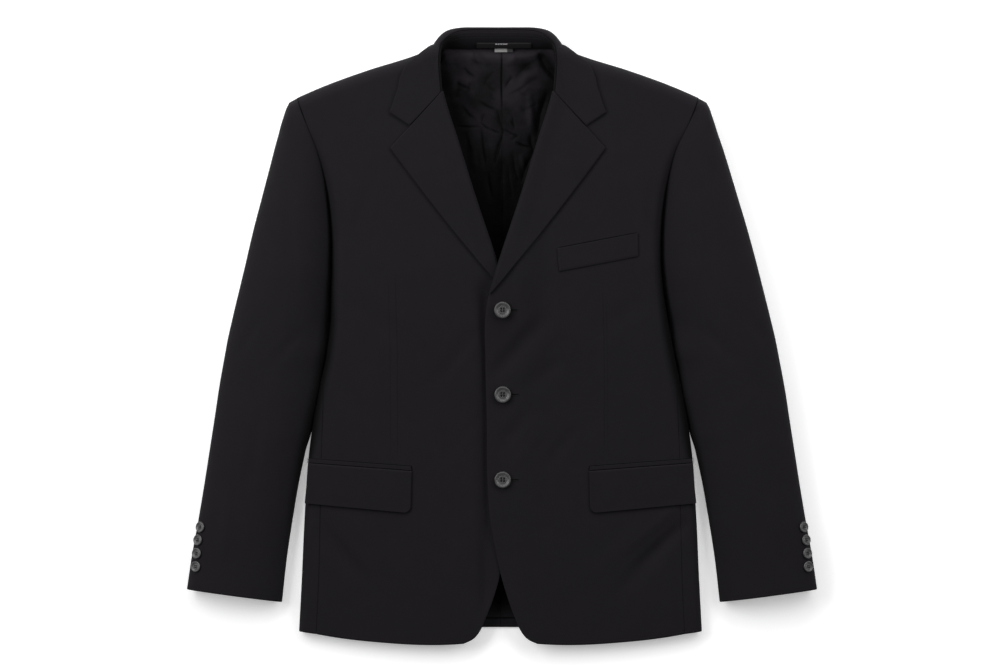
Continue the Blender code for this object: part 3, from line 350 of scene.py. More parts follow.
# Where the lining lies in the shade, for which height says how dark it is.
LINING_SHADES = table(
    RIDGE,
    (-84, 760, -66, 680, 17, 0.8), (-73, 722, -44, 600, 20, 0.85), (-58, 704, -30, 664, 13, 0.5),
    (-46, 660, -22, 560, 14, 0.6), (42, 752, 74, 700, 12, 0.85), (66, 716, 40, 610, 11, 0.85),
    (14, 736, 40, 716, 9, 0.4), (-34, 742, -14, 722, 8, 0.35), (-8, 640, 4, 520, 14, 0.5))
FULL_SHADE_DEPTH = 2.4  # depth of a crease whose painted shade is darkest, as the table gives depths
LINING_DEPTH = 0.6  # of the lining's creases, as a share of the table's

# Soft waves of the lining, which its creases break.
LINING_WAVES = table(
    RIDGE,
    (-2, 672, 14, 642, 5, 1.6), (34, 692, 38, 640, 7, 2.4), (6, 722, 18, 738, 8, 1.8),
    (24, 706, 48, 716, 8, 1.8), (-24, 722, -14, 700, 9, 1.4), (-46, 708, -36, 676, 7, 1.4),
    (-14, 634, -12, 590, 6, 1.6), (24, 614, 32, 584, 6, 1.6), (-40, 640, -34, 590, 8, 1.2),
    (40, 420, 16, 300, 14, 1.6), (-50, 400, -30, 260, 14, 1.8), (60, 240, 44, 90, 14, 1.6),
    (-8, 200, 6, 60, 12, 1.4), (84, 560, 78, 330, 12, 1.8), (-86, 500, -80, 280, 12, 1.6))

# Darts: out, lower and upper end, half width and depth of the line.
DART_LINES = {
    LEFT: ((129.5, 236.0, 446.0, 1.0, 0.9), (133.2, 240.0, 440.0, 0.9, 0.5)),
    RIGHT: ((128.0, 232.0, 470.0, 1.0, 0.9), (137.0, 236.0, 462.0, 1.0, 0.4)),
}

# The lining's own heights: its billow in the neck, and what it rises in its upper corners and
# along its upper edge, with the outs and levels where it does.
BILLOW = 4.4
BILLOW_FADE = (80.0, 30.0)
BILLOW_START = (440.0, 90.0)
BILLOW_TOP = 14.0
CORNER_RISE = 2.2
CORNER_OUTS = (40.0, 25.0)
CORNER_LEVELS = (690.0, 40.0)
TOP_RISE = 1.2
TOP_LEVELS = (726.0, 14.0)
LOWEST_CREASE = -0.2
# How far below the shoulder's outline it ends, as shares of the shoulder's roll, and where more.
LINING_MARGINS = (0.375, 1.1)
MARGIN_OUTS = (67.0, 17.0)
STRAIGHT_SEAM = (300.0, 150.0)  # levels from which the centre seam runs straight up the photo

# Profile of a button, in shares of its radius and thickness, from the middle of its face over the
# rim to the middle of its back, and the rings between each two corners.
BUTTON_PROFILE = ((0, 0.66), (0.50, 0.66), (0.54, 0.60), (0.58, 0.68), (0.68, 0.74), (0.78, 0.97),
                  (0.86, 1.0), (0.93, 0.96), (0.985, 0.72), (1.0, 0.45), (0.80, 0.0), (0.0, 0.0))
BUTTON_RINGS = (26, 2, 2, 2, 3, 2, 2, 2, 3, 3, 2)
# Shares of a button's width: from its axis to a well along both sides, a well's radius and wall,
# the radius of its thread and how far that stands off and dips in at its ends.
WELL_PITCH = 0.08
WELL = 0.066
WELL_WALL = 0.018
BUTTON_THREAD = 0.012
THREAD_RISE = 0.016
THREAD_DIP = 0.05
WELL_DEPTH = 0.5  # share of a button's thickness
BUTTON_FACE = 0.66  # height of its middle, as a share of that
GROOVE = (0.54, 0.05)  # share of its radius at which painted shade darkens its groove, and over how much
THREAD_SHIFT = 0.16  # of the two threads through a pair of wells, as a share of the pitch
SPOKES = {"front": 72, "cuff": 48}

# Buttonhole: its ends out from the centre front, half the width of its ring, and its whipping.
HOLE_X = (-2.0, 22.0)
HOLE_HALF = 1.3
WHIPPING = 0.34
WHIPPING_SWELL = 0.06
WHIPPING_PITCH = 0.62
SLIT_HALF = 0.4
STAND_STITCH_SHARES = (0.66, 0.77, 0.87)

# Seams and tacks: radius of the dark cord of painted shadow in each, and pitch, length and radius
# of stitches.
SEAM_CORDS = {"armhole": 0.9, "welt": 0.3, "mouth": 0.7, "jet": 0.75, "flap": 1.0, "neck": 0.55,
              "hem": 0.6}
ARMHOLE_SUNK = 0.3  # how far the armhole's cord lies in the cloth
NECK_SEAM_END = 4.2  # station of the collar where the cord in the neck seam ends
HEM_SEAM_HALF = 60.0  # half the length of the cord along the lining's hem
STITCHED_ROWS = 62  # rows of the collar's grid that the stand is quilted to either side
MOUTH_RISE = 0.4  # how far above the welt its mouth lies
WELT_TACK = (2.1, 1.5, 0.2)
POCKET_TACK = (1.0, 0.8, 0.3)
LOOP_STITCH = (3.1, 3.0, 0.3)
STAND_STITCH = (2.6, 1.9, 0.22)
TACK_INSET = 2.2  # in from the welt's end, and
TACK_SHARE = 0.06  # share of its height that the tack leaves at both ends
POCKET_TACK_PAST = 1.2  # how far a hip pocket's tacks lie past its ends, and their levels
POCKET_TACK_LEVELS = (-1.0, 6.0)
# The welt's edges are pressed down: its sewn edge and its ends, with the share of rows or columns.
WELT_SEWN = (0.7, 0.09)
WELT_ENDS = (0.4, 0.05)

# The camera looks straight down from this height, on a picture so wide at the floor, in metres.
CAMERA_HEIGHT = 6.0
FRAME_WIDTH = 1.26
CAMERA_X = 0.0025
CAMERA_Y = 0.00075
SENSOR = 36.0  # millimetres across
FAR = 60.0  # how far it sees

# Soft lights: name, place, size and power. Each is aimed at the middle of the floor.
LIGHTS = (
    ("light right", (-1.45, 0.60, 1.35), (1.6, 1.0), 31.5),
    ("light left", (1.45, 0.60, 1.35), (1.6, 1.0), 19.0),
    ("light top", (0.0, 1.9, 1.3), (2.2, 1.0), 24.0),
)
FLOOR_HALF = 6.0  # half the floor's width, in metres
FLOOR_LEVEL = -0.0004
GLOW = 0.32  # light that the floor itself gives, like a light table
SKY = 0.17  # strength of the even light from all round

# In metres, but for shares.
THREAD_TWIST = 0.0009  # lay of a thread
RIBBON_RIB = 0.0005  # pitch of a ribbon's ribs
DART_FADE = 0.02  # length over which a dart's line fades at both ends
THREAD_END = 0.04  # radius at a thread's end, as a share of its own
RING_GIRTH = 0.0003  # length on a thread's flat cut for each radian round it


def follow(knots, values, at):
    """Smooth curve through a table's rows, its slope at each row the mean of its neighbours'."""
    slope = np.gradient(values, knots)
    at = np.clip(at, knots[0], knots[-1])
    row = np.clip(np.searchsorted(knots, at, side="right") - 1, 0, len(knots) - 2)
    step = knots[row + 1] - knots[row]
    t = (at - knots[row]) / step
    start = values[row] * (1 + 2 * t) * (1 - t) ** 2 + slope[row] * step * t * (1 - t) ** 2
    end = values[row + 1] * t ** 2 * (3 - 2 * t) + slope[row + 1] * step * t ** 2 * (t - 1)
    return start + end


def ease(t):
    """Smooth step from 0 to 1."""
    t = np.clip(t, 0.0, 1.0)
    return t * t * (3 - 2 * t)


def sided(part, side):
    """A part's name with its side."""
    return f"{part}_{SIDE_NAMES[side]}"


def ramp(value, start, over):
    """Smooth step from 0 at start to 1 so far past it."""
    return ease((value - start) / over)


def span(value, start, rise, end, fall):
    """Smooth step from 0 at start to 1 over `rise`, and back to 0 from end over `fall`."""
    return ramp(value, start, rise) * (1 - ramp(value, end, fall))


def bell(value, middle, spread):
    """Bell about the middle: exp(-((value - middle) / spread)^2)."""
    return np.exp(-((value - middle) / spread) ** 2)


def quarter(t):
    """Quarter circle: 0 at an outline, 1 where the cloth lies level, one radius in."""
    return np.sqrt(1 - (1 - np.clip(t, 0.0, 1.0)) ** 2)


def body(column, up):
    """A column of the body's table at a level."""
    return follow(BODY["up"], BODY[column], up)


def ridges(rows, x, up, profile):
    """Height that a table's folds add: each profile fades as 1 - (2 t - 1)^2 along its line."""
    total = np.zeros(np.broadcast(x, up).shape)
    for x0, up0, x1, up1, width, height in zip(*rows.values()):
        along = np.array([x1 - x0, up1 - up0])
        length = np.hypot(*along)
        t = ((x - x0) * along[0] + (up - up0) * along[1]) / length ** 2
        off = ((x - x0) * along[1] - (up - up0) * along[0]) / length
        fade = np.clip(1 - (2 * t - 1) ** 2, 0, None)
        total = total + height * profile(off, t, width) * fade
    return total


def folds(rows, x, up):
    """Soft ridges and troughs of a table: 0.5 (1 + cos(pi distance / width)) across."""
    def profile(off, _, width):
        return 0.5 * (1 + np.cos(np.pi * np.clip(np.abs(off) / width, 0, 1)))

    return ridges(rows, x, up, profile)


def creases(rows, x, up):
    """Sharp creases of a table: (1 - distance / width)^2, the far side nearly twice as wide.

    Each bends off its line by a tenth of its width, sin(3 pi t).
    """
    def profile(off, t, width):
        off = off + 0.10 * width * np.sin(3 * np.pi * t)
        wide = np.where(off > 0, 1.8 * width, width)
        return (1 - np.clip(np.abs(off) / wide, 0, 1)) ** 2

    return ridges(rows, x, up, profile)


def shoulder_bow(out):
    """How far the shoulder's outline lies above the straight line between its ends.

    Bow sin(pi t^2) on the way from neck to end, less what the collar presses down.
    """
    t = np.clip((out - SHOULDER_NECK[0]) / SHOULDER_WIDTH, 0, 1)
    return SHOULDER_BOW * np.sin(np.pi * t ** 2) - COLLAR_PRESS * span(out, *COLLAR_PRESS_OUTS)


def shoulder_line(out):
    """Level of the shoulder's outline."""
    return SHOULDER_NECK[1] - SHOULDER_FALL * (out - SHOULDER_NECK[0]) + shoulder_bow(out)


def below_shoulder(out, up):
    """Quarter-circle rise with the distance below the shoulder's outline."""
    return quarter((shoulder_line(out) - up) / math.hypot(SHOULDER_FALL, 1.0) / SHOULDER_ROLL)


def side_turn(level, column):
    """Radius and start of the roll at the side, and its angle, for the front or the back."""
    radius = SIDE_RADIUS * body("height", level)
    angle = np.radians(body(column, level))
    return radius, body("out", level) - radius * np.sin(angle), angle


def turn_drop(level, angle):
    """How far the cloth has sunk where it has rolled through an angle at the side."""
    return 0.5 * body("height", level) * (1 - np.cos(angle))


def armhole_dip(out, up):
    """How far a front sinks towards the armhole seam: depth times (1 - distance / width)^4.5."""
    away = np.clip((body("out", up) - out) / ARMHOLE_DIP_WIDTH, 0, 1)
    return ARMHOLE_DIP * span(up, *ARMHOLE_DIP_LEVELS) * (1 - away) ** 4.5


def over_rise(x, up):
    """How far the left front is lifted where it laps over the right one."""
    rise = LAP + BREAK_RISE * bell(up, *BREAK_BELL)
    return rise * (1 - ramp(x, *LAP_FADE)) * (1 - ramp(up, *LAP_END))


def front_face(side, out, up):
    """Height of a front's outer face where it isn't rolled under at the side.

    Height = body's + camber (1 - (out / start of the roll)^2) + folds + creases - armhole's dip,
    and the lap's rise on the left or its dip on the right. It comes down to the shoulder seam
    with the quarter circle there.
    """
    start = side_turn(up, "turn")[1]
    z = body("height", up) + CAMBER * (1 - np.clip(out / start, -1, 1) ** 2)
    z = z + folds(FRONT_FOLDS, side * out, up)
    z = z + settings().crease * folds(FRONT_CREASES, side * out, up) - armhole_dip(out, up)
    if side == LEFT:
        z = z + over_rise(out, up)
    else:
        z = z - LAP_DIP * bell(out, LAP_EDGE, LAP_DIP_WIDTH) * span(up, *LAP_DIP_LEVELS)
    return SHOULDER_SEAM + (z - SHOULDER_SEAM) * below_shoulder(out, up)


def lean(out, up):
    """The small sideways shift with which the body and the sleeves lie, in millimetres."""
    middle = np.interp(up, BODY_LEAN["up"], BODY_LEAN["shift"])
    sleeve = np.interp(up, SLEEVE_LEAN["up"], SLEEVE_LEAN["shift"])
    past = np.abs(out) - body("out", up)
    seam = bell(past, 0.0, SEAM_LEAN_WIDTH) * span(up, *SEAM_LEAN_LEVELS)
    return middle + (sleeve - middle) * ease(past / LEAN_WIDTH) - SEAM_LEAN * seam


def place(side, out, up, z):
    """World coordinates, in metres, of points given by out, up and z."""
    out, up, z = np.broadcast_arrays(out, up, z)
    x = side * out + lean(out, up)
    return np.stack([x, up - LENGTH / 2, z], axis=-1) * MM


def girth_point(level, girth, column):
    """Out and depth of a point so far along the cloth past where it begins to turn under.

    Out = start + radius sin(angle) and depth = half the height (1 - cos(angle)), where angle =
    girth / radius. Before the start and past the turn the cloth runs level.
    """
    radius, start, _ = side_turn(level, column)
    angle = np.clip(girth / radius, 0, np.pi)
    out = start + np.minimum(girth, 0) + radius * np.sin(angle)
    return out - np.maximum(girth - np.pi * radius, 0), turn_drop(level, angle)


def turn_normal(side, level, facing, column):
    """Normals at the seam of the front (facing 1) or the back (facing -1) as it turns under."""
    radius = side_turn(level, column)[0]
    angle = np.clip(seam_girth(level, column) / radius, 0, np.pi)
    return np.stack([side * np.sin(angle), 0 * angle, facing * np.cos(angle)], axis=-1)


def shoulder_normal(side):
    """Level normal of the shoulder's outline."""
    return np.array([side * SHOULDER_FALL, 1.0, 0.0]) / math.hypot(SHOULDER_FALL, 1.0)


def seam_girth(level, column):
    """Girth at which the front or the back ends, from where its own turn begins."""
    radius, _, angle = side_turn(level, column)
    strip = body("strip" if column == "turn" else "tail", level)
    inside = radius * np.pi / 2 - strip
    return np.where(level > UNDERARM - 1, radius * angle, inside)


def hem_sweep(out, level):
    """How far the front hem sags: 1 - (distance from its middle / half)^2.5, fading out above."""
    sweep = 1 - np.clip(np.abs(out - HEM_MIDDLE) / HEM_HALF, 0, 1) ** 2.5
    return HEM_SWEEP * sweep * np.clip(1 - (level - HEM) / HEM_FADE, 0, 1)


def front_grid(side, levels, shares):
    """A front's outer face: rows from the front edge to the side seam or the armhole."""
    level = levels[:, None]
    edge_up = follow(FRONT_EDGE["level"], FRONT_EDGE["up"], level)
    edge_out = follow(FRONT_EDGE["level"], FRONT_EDGE["out"], level)
    inset = sum(more * ramp(edge_up, start, over) for more, start, over in INSETS)
    rolled = follow(ROLL["up"], ROLL["out"], edge_up) + inset
    edge_out = np.where(edge_up > BREAK, rolled, edge_out)
    start = side_turn(level, "turn")[1]
    last = seam_girth(level, "turn")
    girth = (edge_out - start) + shares * (last - (edge_out - start))
    out, drop = girth_point(level, girth, "turn")
    up = edge_up + (level - edge_up) * shares
    up = up - hem_sweep(out, level)
    up = up + shoulder_bow(out) * ramp(level, BOW_START, SHOULDER - BOW_START)
    return out, up, front_face(side, out, up) - drop, girth + start


# ---- settings

class JacketSettings(bpy.types.PropertyGroup):
    """Sizes and colours of the jacket that a user may change."""
    suiting_colour: bpy.props.FloatVectorProperty(
        name="Suiting", description="Colour of the wool suiting", subtype="COLOR",
        size=3, min=0.0, max=1.0, default=(0.0092, 0.0077, 0.0098))
    lining_colour: bpy.props.FloatVectorProperty(
        name="Lining", description="Colour of the satin lining", subtype="COLOR",
        size=3, min=0.0, max=1.0, default=(0.0066, 0.0058, 0.0068))
    button_colour: bpy.props.FloatVectorProperty(
        name="Buttons", description="Colour of the buttons", subtype="COLOR",
        size=3, min=0.0, max=1.0, default=(0.048, 0.047, 0.049))
    thread_colour: bpy.props.FloatVectorProperty(
        name="Thread", description="Colour of the sewing thread", subtype="COLOR",
        size=3, min=0.0, max=1.0, default=(0.012, 0.011, 0.012))
    label_colour: bpy.props.FloatVectorProperty(
        name="Label", description="Colour of the bare label", subtype="COLOR",
        size=3, min=0.0, max=1.0, default=(0.28, 0.276, 0.272))
    tape_colour: bpy.props.FloatVectorProperty(
        name="Loop tape", description="Colour of the hanger loop's satin tape", subtype="COLOR",
        size=3, min=0.0, max=1.0, default=(0.0105, 0.010, 0.011))
    floor_colour: bpy.props.FloatVectorProperty(
        name="Floor", description="Colour of the floor", subtype="COLOR",
        size=3, min=0.0, max=1.0, default=(0.93, 0.93, 0.93))
    twill: bpy.props.FloatProperty(
        name="Twill", description="Distance between two lines of the suiting's twill",
        subtype="DISTANCE", unit="LENGTH", min=0.0003, max=0.01, default=0.0011)
    crease: bpy.props.FloatProperty(
        name="Creases", description="Depth of the small creases, as a share of those shown",
        subtype="FACTOR", min=0.0, max=1.5, default=1.0)
    light: bpy.props.FloatProperty(
        name="Light", description="Strength of the soft light from above and both sides",
        min=0.0, max=5.0, default=1.0)


def settings():
    """The scene's jacket settings."""
    return bpy.context.scene.jacket


# ---- materials

class Socket:
    """A shader node's output that plain arithmetic can be written with, each step a Math node."""

    def __init__(self, recipe, output):
        self.recipe = recipe
        self.output = output

    def math(self, operation, first, second=0.0):
        """The output of a Math node on two numbers or sockets."""
        return self.recipe.add("ShaderNodeMath", {"operation": operation},
                               {0: first, 1: second})

    def __add__(self, other):
        return self.math("ADD", self, other)

    __radd__ = __add__

    def __sub__(self, other):
        return self.math("SUBTRACT", self, other)

    def __rsub__(self, other):
        return self.math("SUBTRACT", other, self)

    def __mul__(self, other):
        return self.math("MULTIPLY", self, other)

    __rmul__ = __mul__

    def __truediv__(self, other):
        return self.math("DIVIDE", self, other)

    def wave(self):
        """A wave from 0 to 1 of the value in radians: one half and half its sine."""
        return 0.5 + 0.5 * self.math("SINE", self)

    def size(self):
        """The value without its sign."""
        return self.math("ABSOLUTE", self)

    def between(self, low, high):
        """The value run from 0 at low to 1 at high, and held at both ends."""
        return self.recipe.add("ShaderNodeMapRange", {"clamp": True},
                               {"Value": self, "From Min": low, "From Max": high})


class Recipe:
    def __init__(self, name):
        self.material = bpy.data.materials.new(name)
        self.material.use_nodes = True
        self.tree = self.material.node_tree
        self.shader = self.tree.nodes["Principled BSDF"]

    def add(self, kind, options=None, sockets=None, output=0):
        """Add a node of any kind, with its options first and then its sockets' values or links."""
        node = self.tree.nodes.new(kind)
        for key, value in (options or {}).items():
            setattr(node, key, value)
        for key, value in (sockets or {}).items():
            self.feed(node.inputs[key], value)
        return Socket(self, node.outputs[output])

    def feed(self, target, value):
        """Give a socket a value, or link another one to it."""
        if isinstance(value, Socket):
            self.tree.links.new(value.output, target)
        elif target.type == "RGBA":
            target.default_value = (*value[:3], 1.0)
        else:
            target.default_value = value

    def mix(self, share, first, second):
        """A colour between two others."""
        return self.add("ShaderNodeMix", {"data_type": "RGBA"}, {0: share, 6: first, 7: second},
                        output=2)

    def cut_place(self):
        """The place on the flat cut: its two coordinates in metres, and both as a vector."""
        place_on_cut = self.add("ShaderNodeUVMap", {"uv_map": "cut"})
        along = self.add("ShaderNodeSeparateXYZ", None, {0: place_on_cut})
        down = self.add("ShaderNodeSeparateXYZ", None, {0: place_on_cut}, output=1)
        return along, down, place_on_cut

    def body_place(self):
        """The place in the garment, which all its pieces share."""
        return self.add("ShaderNodeTexCoord", output="Object")

    def point_value(self, name):
        """The value of that name that a mesh stores at its points."""
        return self.add("ShaderNodeAttribute", {"attribute_name": name}, output="Fac")

    def noise(self, vector, scale, detail=2.0, stretch=None):
        """Noise about one half, with so many grains in a metre, stretched if that is asked."""
        if stretch is not None:
            vector = self.add("ShaderNodeVectorMath", {"operation": "MULTIPLY"},
                              {0: vector, 1: stretch})
        return self.add("ShaderNodeTexNoise", None,
                        {"Vector": vector, "Scale": scale, "Detail": detail})

    def finish(self, height=None, distance=0.0003, strength=1.0, **values):
        """Set the surface's own values and link what varies, with height as its relief."""
        for key, value in values.items():
            self.feed(self.shader.inputs[key.replace("_", " ")], value)
        if height is not None:
            sockets = {"Height": height, "Distance": distance, "Strength": strength}
            self.feed(self.shader.inputs["Normal"], self.add("ShaderNodeBump", None, sockets))
        return self.material


def suiting_material(name, worn=0.0, lines=()):
    """Wool twill: slanted ridges of yarn, fibre fuzz, uneven dye and lighter rubbed edges.

    Ridge = 0.5 + 0.5 sin(2 pi (u + v) / twill), broken by yarns of half the pitch across it. lines
    are grooves pressed or sewn along the cut: (u, v from, v to, half width, depth), in metres.
    Painted shade darkens each groove, and the cloth where a piece's points are given painted
    shade.
    """
    recipe = Recipe(name)
    u, v, cut = recipe.cut_place()
    turn = 2 * math.pi / settings().twill
    ridge = ((u + v) * turn).wave()
    yarn = ((u - v) * (2.3 * turn)).wave()
    fuzz = recipe.noise(cut, 1400.0, 3.0)
    slub = recipe.noise(cut, 260.0, 2.0, stretch=(1.0, 0.12, 1.0))
    dye = recipe.noise(recipe.body_place(), 9.0, 3.0)
    blot = recipe.noise(recipe.body_place(), 38.0, 3.0)
    edge = recipe.point_value("edge")
    weave = 0.55 * ridge + 0.2 * yarn + 0.45 * fuzz + 0.3 * slub
    base = np.array(settings().suiting_colour)
    lit = recipe.mix((weave - 0.15) * 0.9, base * 0.72, base * 1.24)
    tinted = recipe.mix(dye.between(0.35, 0.65) * 0.7, lit, base * (0.90, 0.97, 0.93))
    uneven = recipe.mix(blot.between(0.4, 0.75) * 0.35, tinted, base * (1.22, 1.20, 1.24))
    rubbed = edge * worn * fuzz.between(0.2, 0.7)
    colour = recipe.mix(rubbed, uneven, base * 1.5)
    # Painted shade where the points carry it: in the armhole's fold and on the collar's stand.
    colour = recipe.mix(recipe.point_value("pressed"), colour, base * 0.02)
    height = 0.35 * weave
    for place_u, start, end, half, depth in lines:
        near = 1 - ((u - place_u).size() / half).between(0.0, 1.0)
        along = v.between(start, start + DART_FADE) * (1 - v.between(end - DART_FADE, end))
        groove = near * along
        height = height - depth * groove
        # Painted shade in the line's groove.
        colour = recipe.mix(groove * 0.45, colour, base * 0.45)
    rough = 0.80 + 0.16 * fuzz - 0.05 * edge * worn
    return recipe.finish(height, 0.0006, 0.55, Base_Color=colour, Roughness=rough,
                         Specular_IOR_Level=0.12, Sheen_Weight=0.02, Sheen_Roughness=0.35,
                         Sheen_Tint=(0.82, 0.80, 0.86))


def lining_material():
    """Satin: long fine floats that run down the cut, a soft gloss and small uneven creases.

    By its place up the garment, painted shade makes it darkest below the chest and painted light
    makes it brighter close under the collar; it is also brighter at the hem. Painted shade darkens
    its creases and its shady patches too.
    """
    recipe = Recipe("lining satin")
    _, _, cut = recipe.cut_place()
    floats = recipe.noise(cut, 1500.0, 2.0, stretch=(1.0, 0.08, 1.0))
    crumple = recipe.noise(recipe.body_place(), 75.0, 3.0)
    cloud = recipe.noise(recipe.body_place(), 26.0, 3.0)
    base = np.array(settings().lining_colour)
    colour = recipe.mix(floats, base * 0.7, base * 1.4)
    colour = recipe.mix(cloud.between(0.40, 0.62), colour, base * (2.7, 2.6, 2.8))
    level = recipe.add("ShaderNodeSeparateXYZ", None, {0: recipe.body_place()}, output=1)
    # Painted shade below the chest, painted light close under the collar, brighter at the hem.
    colour = recipe.mix(level.between(0.19, 0.35), base * 0.16, colour)
    colour = recipe.mix(level.between(0.340, 0.357), colour, base * (4.4, 4.3, 4.5))
    colour = recipe.mix(level.between(-0.331, -0.350), colour, base * 1.5)
    # Painted shade in the creases and shady patches that the points carry.
    pressed = recipe.point_value("pressed")
    colour = recipe.mix(pressed * (0.55 + 0.8 * crumple), colour, base * 0.1)
    wave = recipe.noise(recipe.body_place(), 34.0, 2.0)
    height = 0.12 * floats + 0.9 * crumple + 2.2 * wave
    return recipe.finish(height, 0.0012, 0.6, Base_Color=colour,
                         Roughness=0.5 + 0.16 * crumple + 0.06 * floats,
                         Specular_IOR_Level=0.05)


def button_material():
    """Polished horn-like resin: fine turned rings, mottling, dull spots, painted shade in wells.
    """
    recipe = Recipe("button resin")
    _, _, cut = recipe.cut_place()
    reach = recipe.add("ShaderNodeVectorMath", {"operation": "LENGTH"}, {0: cut}, output="Value")
    rings = (reach * 21000.0).wave()
    mottle = recipe.noise(recipe.body_place(), 160.0, 3.0)
    speck = recipe.noise(recipe.body_place(), 900.0, 2.0)
    base = np.array(settings().button_colour)
    colour = recipe.mix(mottle.between(0.35, 0.7), base * 0.8, base * 1.45)
    colour = recipe.mix(rings * 0.18, colour, base * 0.6)
    # Painted shade in the wells and the groove of the face, which the points' edge value marks.
    colour = recipe.mix(recipe.point_value("edge"), colour, base * 0.06)
    rough = 0.24 + 0.2 * speck + 0.06 * rings
    return recipe.finish(0.2 * rings + 0.3 * speck, 0.00008, 0.5, Base_Color=colour,
                         Roughness=rough, Coat_Weight=0.15, Coat_Roughness=0.2)


def thread_material(name, colour):
    """Twisted thread: slanted strands along its run, with paler fibres here and there."""
    recipe = Recipe(name)
    u, v, cut = recipe.cut_place()
    strand = ((u + v * 1.6) * (2 * math.pi / THREAD_TWIST)).wave()
    fibre = recipe.noise(cut, 2500.0, 2.0)
    base = np.array(colour)
    shade = recipe.mix(strand * 0.6 + fibre * 0.4, base * 0.6, base * 1.5)
    return recipe.finish(strand + 0.4 * fibre, 0.0001, 0.6, Base_Color=shade,
                         Roughness=0.62 + 0.2 * fibre, Specular_IOR_Level=0.25)


def ribbon_material(name, colour_set, turned):
    """Woven satin ribbon, fine ribs, a little soil, painted shade past `turned` metres along."""
    recipe = Recipe(name)
    u, v, _ = recipe.cut_place()
    ribs = (v * (2 * math.pi / RIBBON_RIB)).wave()
    soil = recipe.noise(recipe.body_place(), 120.0, 3.0)
    base = np.array(colour_set)
    colour = recipe.mix(ribs * 0.5, base, base * 0.82)
    colour = recipe.mix(soil.between(0.45, 0.8) * 0.4, colour, base * 0.6)
    # Painted shade past `turned` metres along the ribbon.
    colour = recipe.mix(u.between(turned - 0.001, turned), colour, base * 0.1)
    return recipe.finish(ribs, 0.0001, 0.5, Base_Color=colour, Roughness=0.5 + 0.3 * soil,
                         Specular_IOR_Level=0.3)


def slit_shade_material():
    """Near-black painted shade for buttonhole slits and seams, with raw fibres in it."""
    recipe = Recipe("slit")
    _, _, cut = recipe.cut_place()
    fibre = recipe.noise(cut, 2200.0, 3.0)
    colour = recipe.mix(fibre, (0.0008, 0.0008, 0.0008), (0.003, 0.003, 0.003))
    return recipe.finish(fibre, 0.0002, 0.5, Base_Color=colour, Roughness=0.95,
                         Specular_IOR_Level=0.05)


def once(name, maker, *details):
    """The material of that name, made when it is first asked for."""
    return bpy.data.materials.get(name) or maker(*details)


def suiting(worn=0.0):
    """The suiting's material, with rubbed edges where worn is above 0."""
    name = "wool rubbed" if worn else "wool"
    return once(name, suiting_material, name, worn)


def thread(name, colour):
    """A thread's material, made once."""
    return once(name, thread_material, name, tuple(colour))


def sewing_thread():
    """The material of the thread that most seams are sewn with."""
    return thread("sewing thread", settings().thread_colour)


# ---- walls of cloth

EDGE_RINGS = ((0.3, 0.28), (1.0, 0.6))  # thicknesses in from the edge, and most of a cell
EDGE_DROPS = np.array([0.42, 0.12, 0.0])  # how far each ring is lowered, in thicknesses


def grid_normals(grid, outward):
    """Unit normals of a grid, all turned to the side that outward names, and whether turned."""
    normal = np.cross(np.gradient(grid, axis=0), np.gradient(grid, axis=1))
    normal /= np.maximum(np.linalg.norm(normal, axis=-1, keepdims=True), 1e-12)
    turned_over = (normal @ np.array(outward, dtype=float)).sum() < 0
    return (-normal if turned_over else normal), turned_over


def insert_rings(data, thick):
    """A grid with two more rings of points just inside each side.

    New point = side + share (next - side), where share is the ring's distance over the cell's.
    """
    for _ in range(2):
        for _ in range(2):
            gap = np.linalg.norm(data[1, :, :3] - data[0, :, :3], axis=-1)[:, None]
            gap = np.maximum(gap, 1e-9)
            near = [data[0] + (data[1] - data[0]) * np.minimum(reach * thick / gap, most)
                    for reach, most in EDGE_RINGS]
            data = np.concatenate([data[:1], near, data[1:]])[::-1]
        data = data.transpose(1, 0, 2)
    return data


def from_side(count):
    """How many points away the nearer end of a row of points is."""
    return np.minimum(np.arange(count), np.arange(count)[::-1])


def run_lengths(points, axis):
    """Distance along a grid's rows or columns from their first points."""
    steps = np.linalg.norm(np.diff(points, axis=axis), axis=-1)
    return np.concatenate([0 * steps.take([0], axis), np.cumsum(steps, axis=axis)], axis=axis)


def cut_lengths(face):
    """Place on the flat cut: distance along each row and along each column of the grid."""
    return np.stack([run_lengths(face, 1), run_lengths(face, 0)], axis=-1)


def cut_size(face):
    """The cut of a grid: its longest row, its longest column and the sum of its cells."""
    lengths = cut_lengths(face)
    first = np.cross(face[1:, :-1] - face[:-1, :-1], face[:-1, 1:] - face[:-1, :-1])
    second = np.cross(face[1:, :-1] - face[1:, 1:], face[:-1, 1:] - face[1:, 1:])
    area = (np.linalg.norm(first, axis=-1) + np.linalg.norm(second, axis=-1)).sum() / 2
    width = float(lengths[..., 0].max())
    length = float(lengths[..., 1].max())
    return width, length, float(min(area, width * length))


def quad_mesh(name, points, faces, uv, edge=None):
    """A smooth mesh of four-cornered faces, with its flat cut as UV and its edge value."""
    mesh = bpy.data.meshes.new(name)
    corners = faces.ravel()
    mesh.vertices.add(len(points))
    mesh.vertices.foreach_set("co", np.ascontiguousarray(points, np.float32).ravel())
    mesh.loops.add(len(corners))
    mesh.loops.foreach_set("vertex_index", corners.astype(np.int32))
    mesh.polygons.add(len(faces))
    mesh.polygons.foreach_set("loop_start", np.arange(0, len(corners), 4, dtype=np.int32))
    mesh.update(calc_edges=True)
    layer = mesh.uv_layers.new(name="cut")
    layer.data.foreach_set("uv", uv[corners].astype(np.float32).ravel())
    if edge is not None:
        values = mesh.attributes.new("edge", "FLOAT", "POINT")
        values.data.foreach_set("value", edge.astype(np.float32))
    mesh.shade_smooth()
    return mesh


def grid_faces(rows, columns):
    """Four-cornered faces between the points of a grid that are numbered row by row."""
    index = np.arange(rows * columns).reshape(rows, columns)
    quads = np.stack([index[:-1, :-1], index[1:, :-1], index[1:, 1:], index[:-1, 1:]], axis=-1)
    return index, quads.reshape(-1, 4)


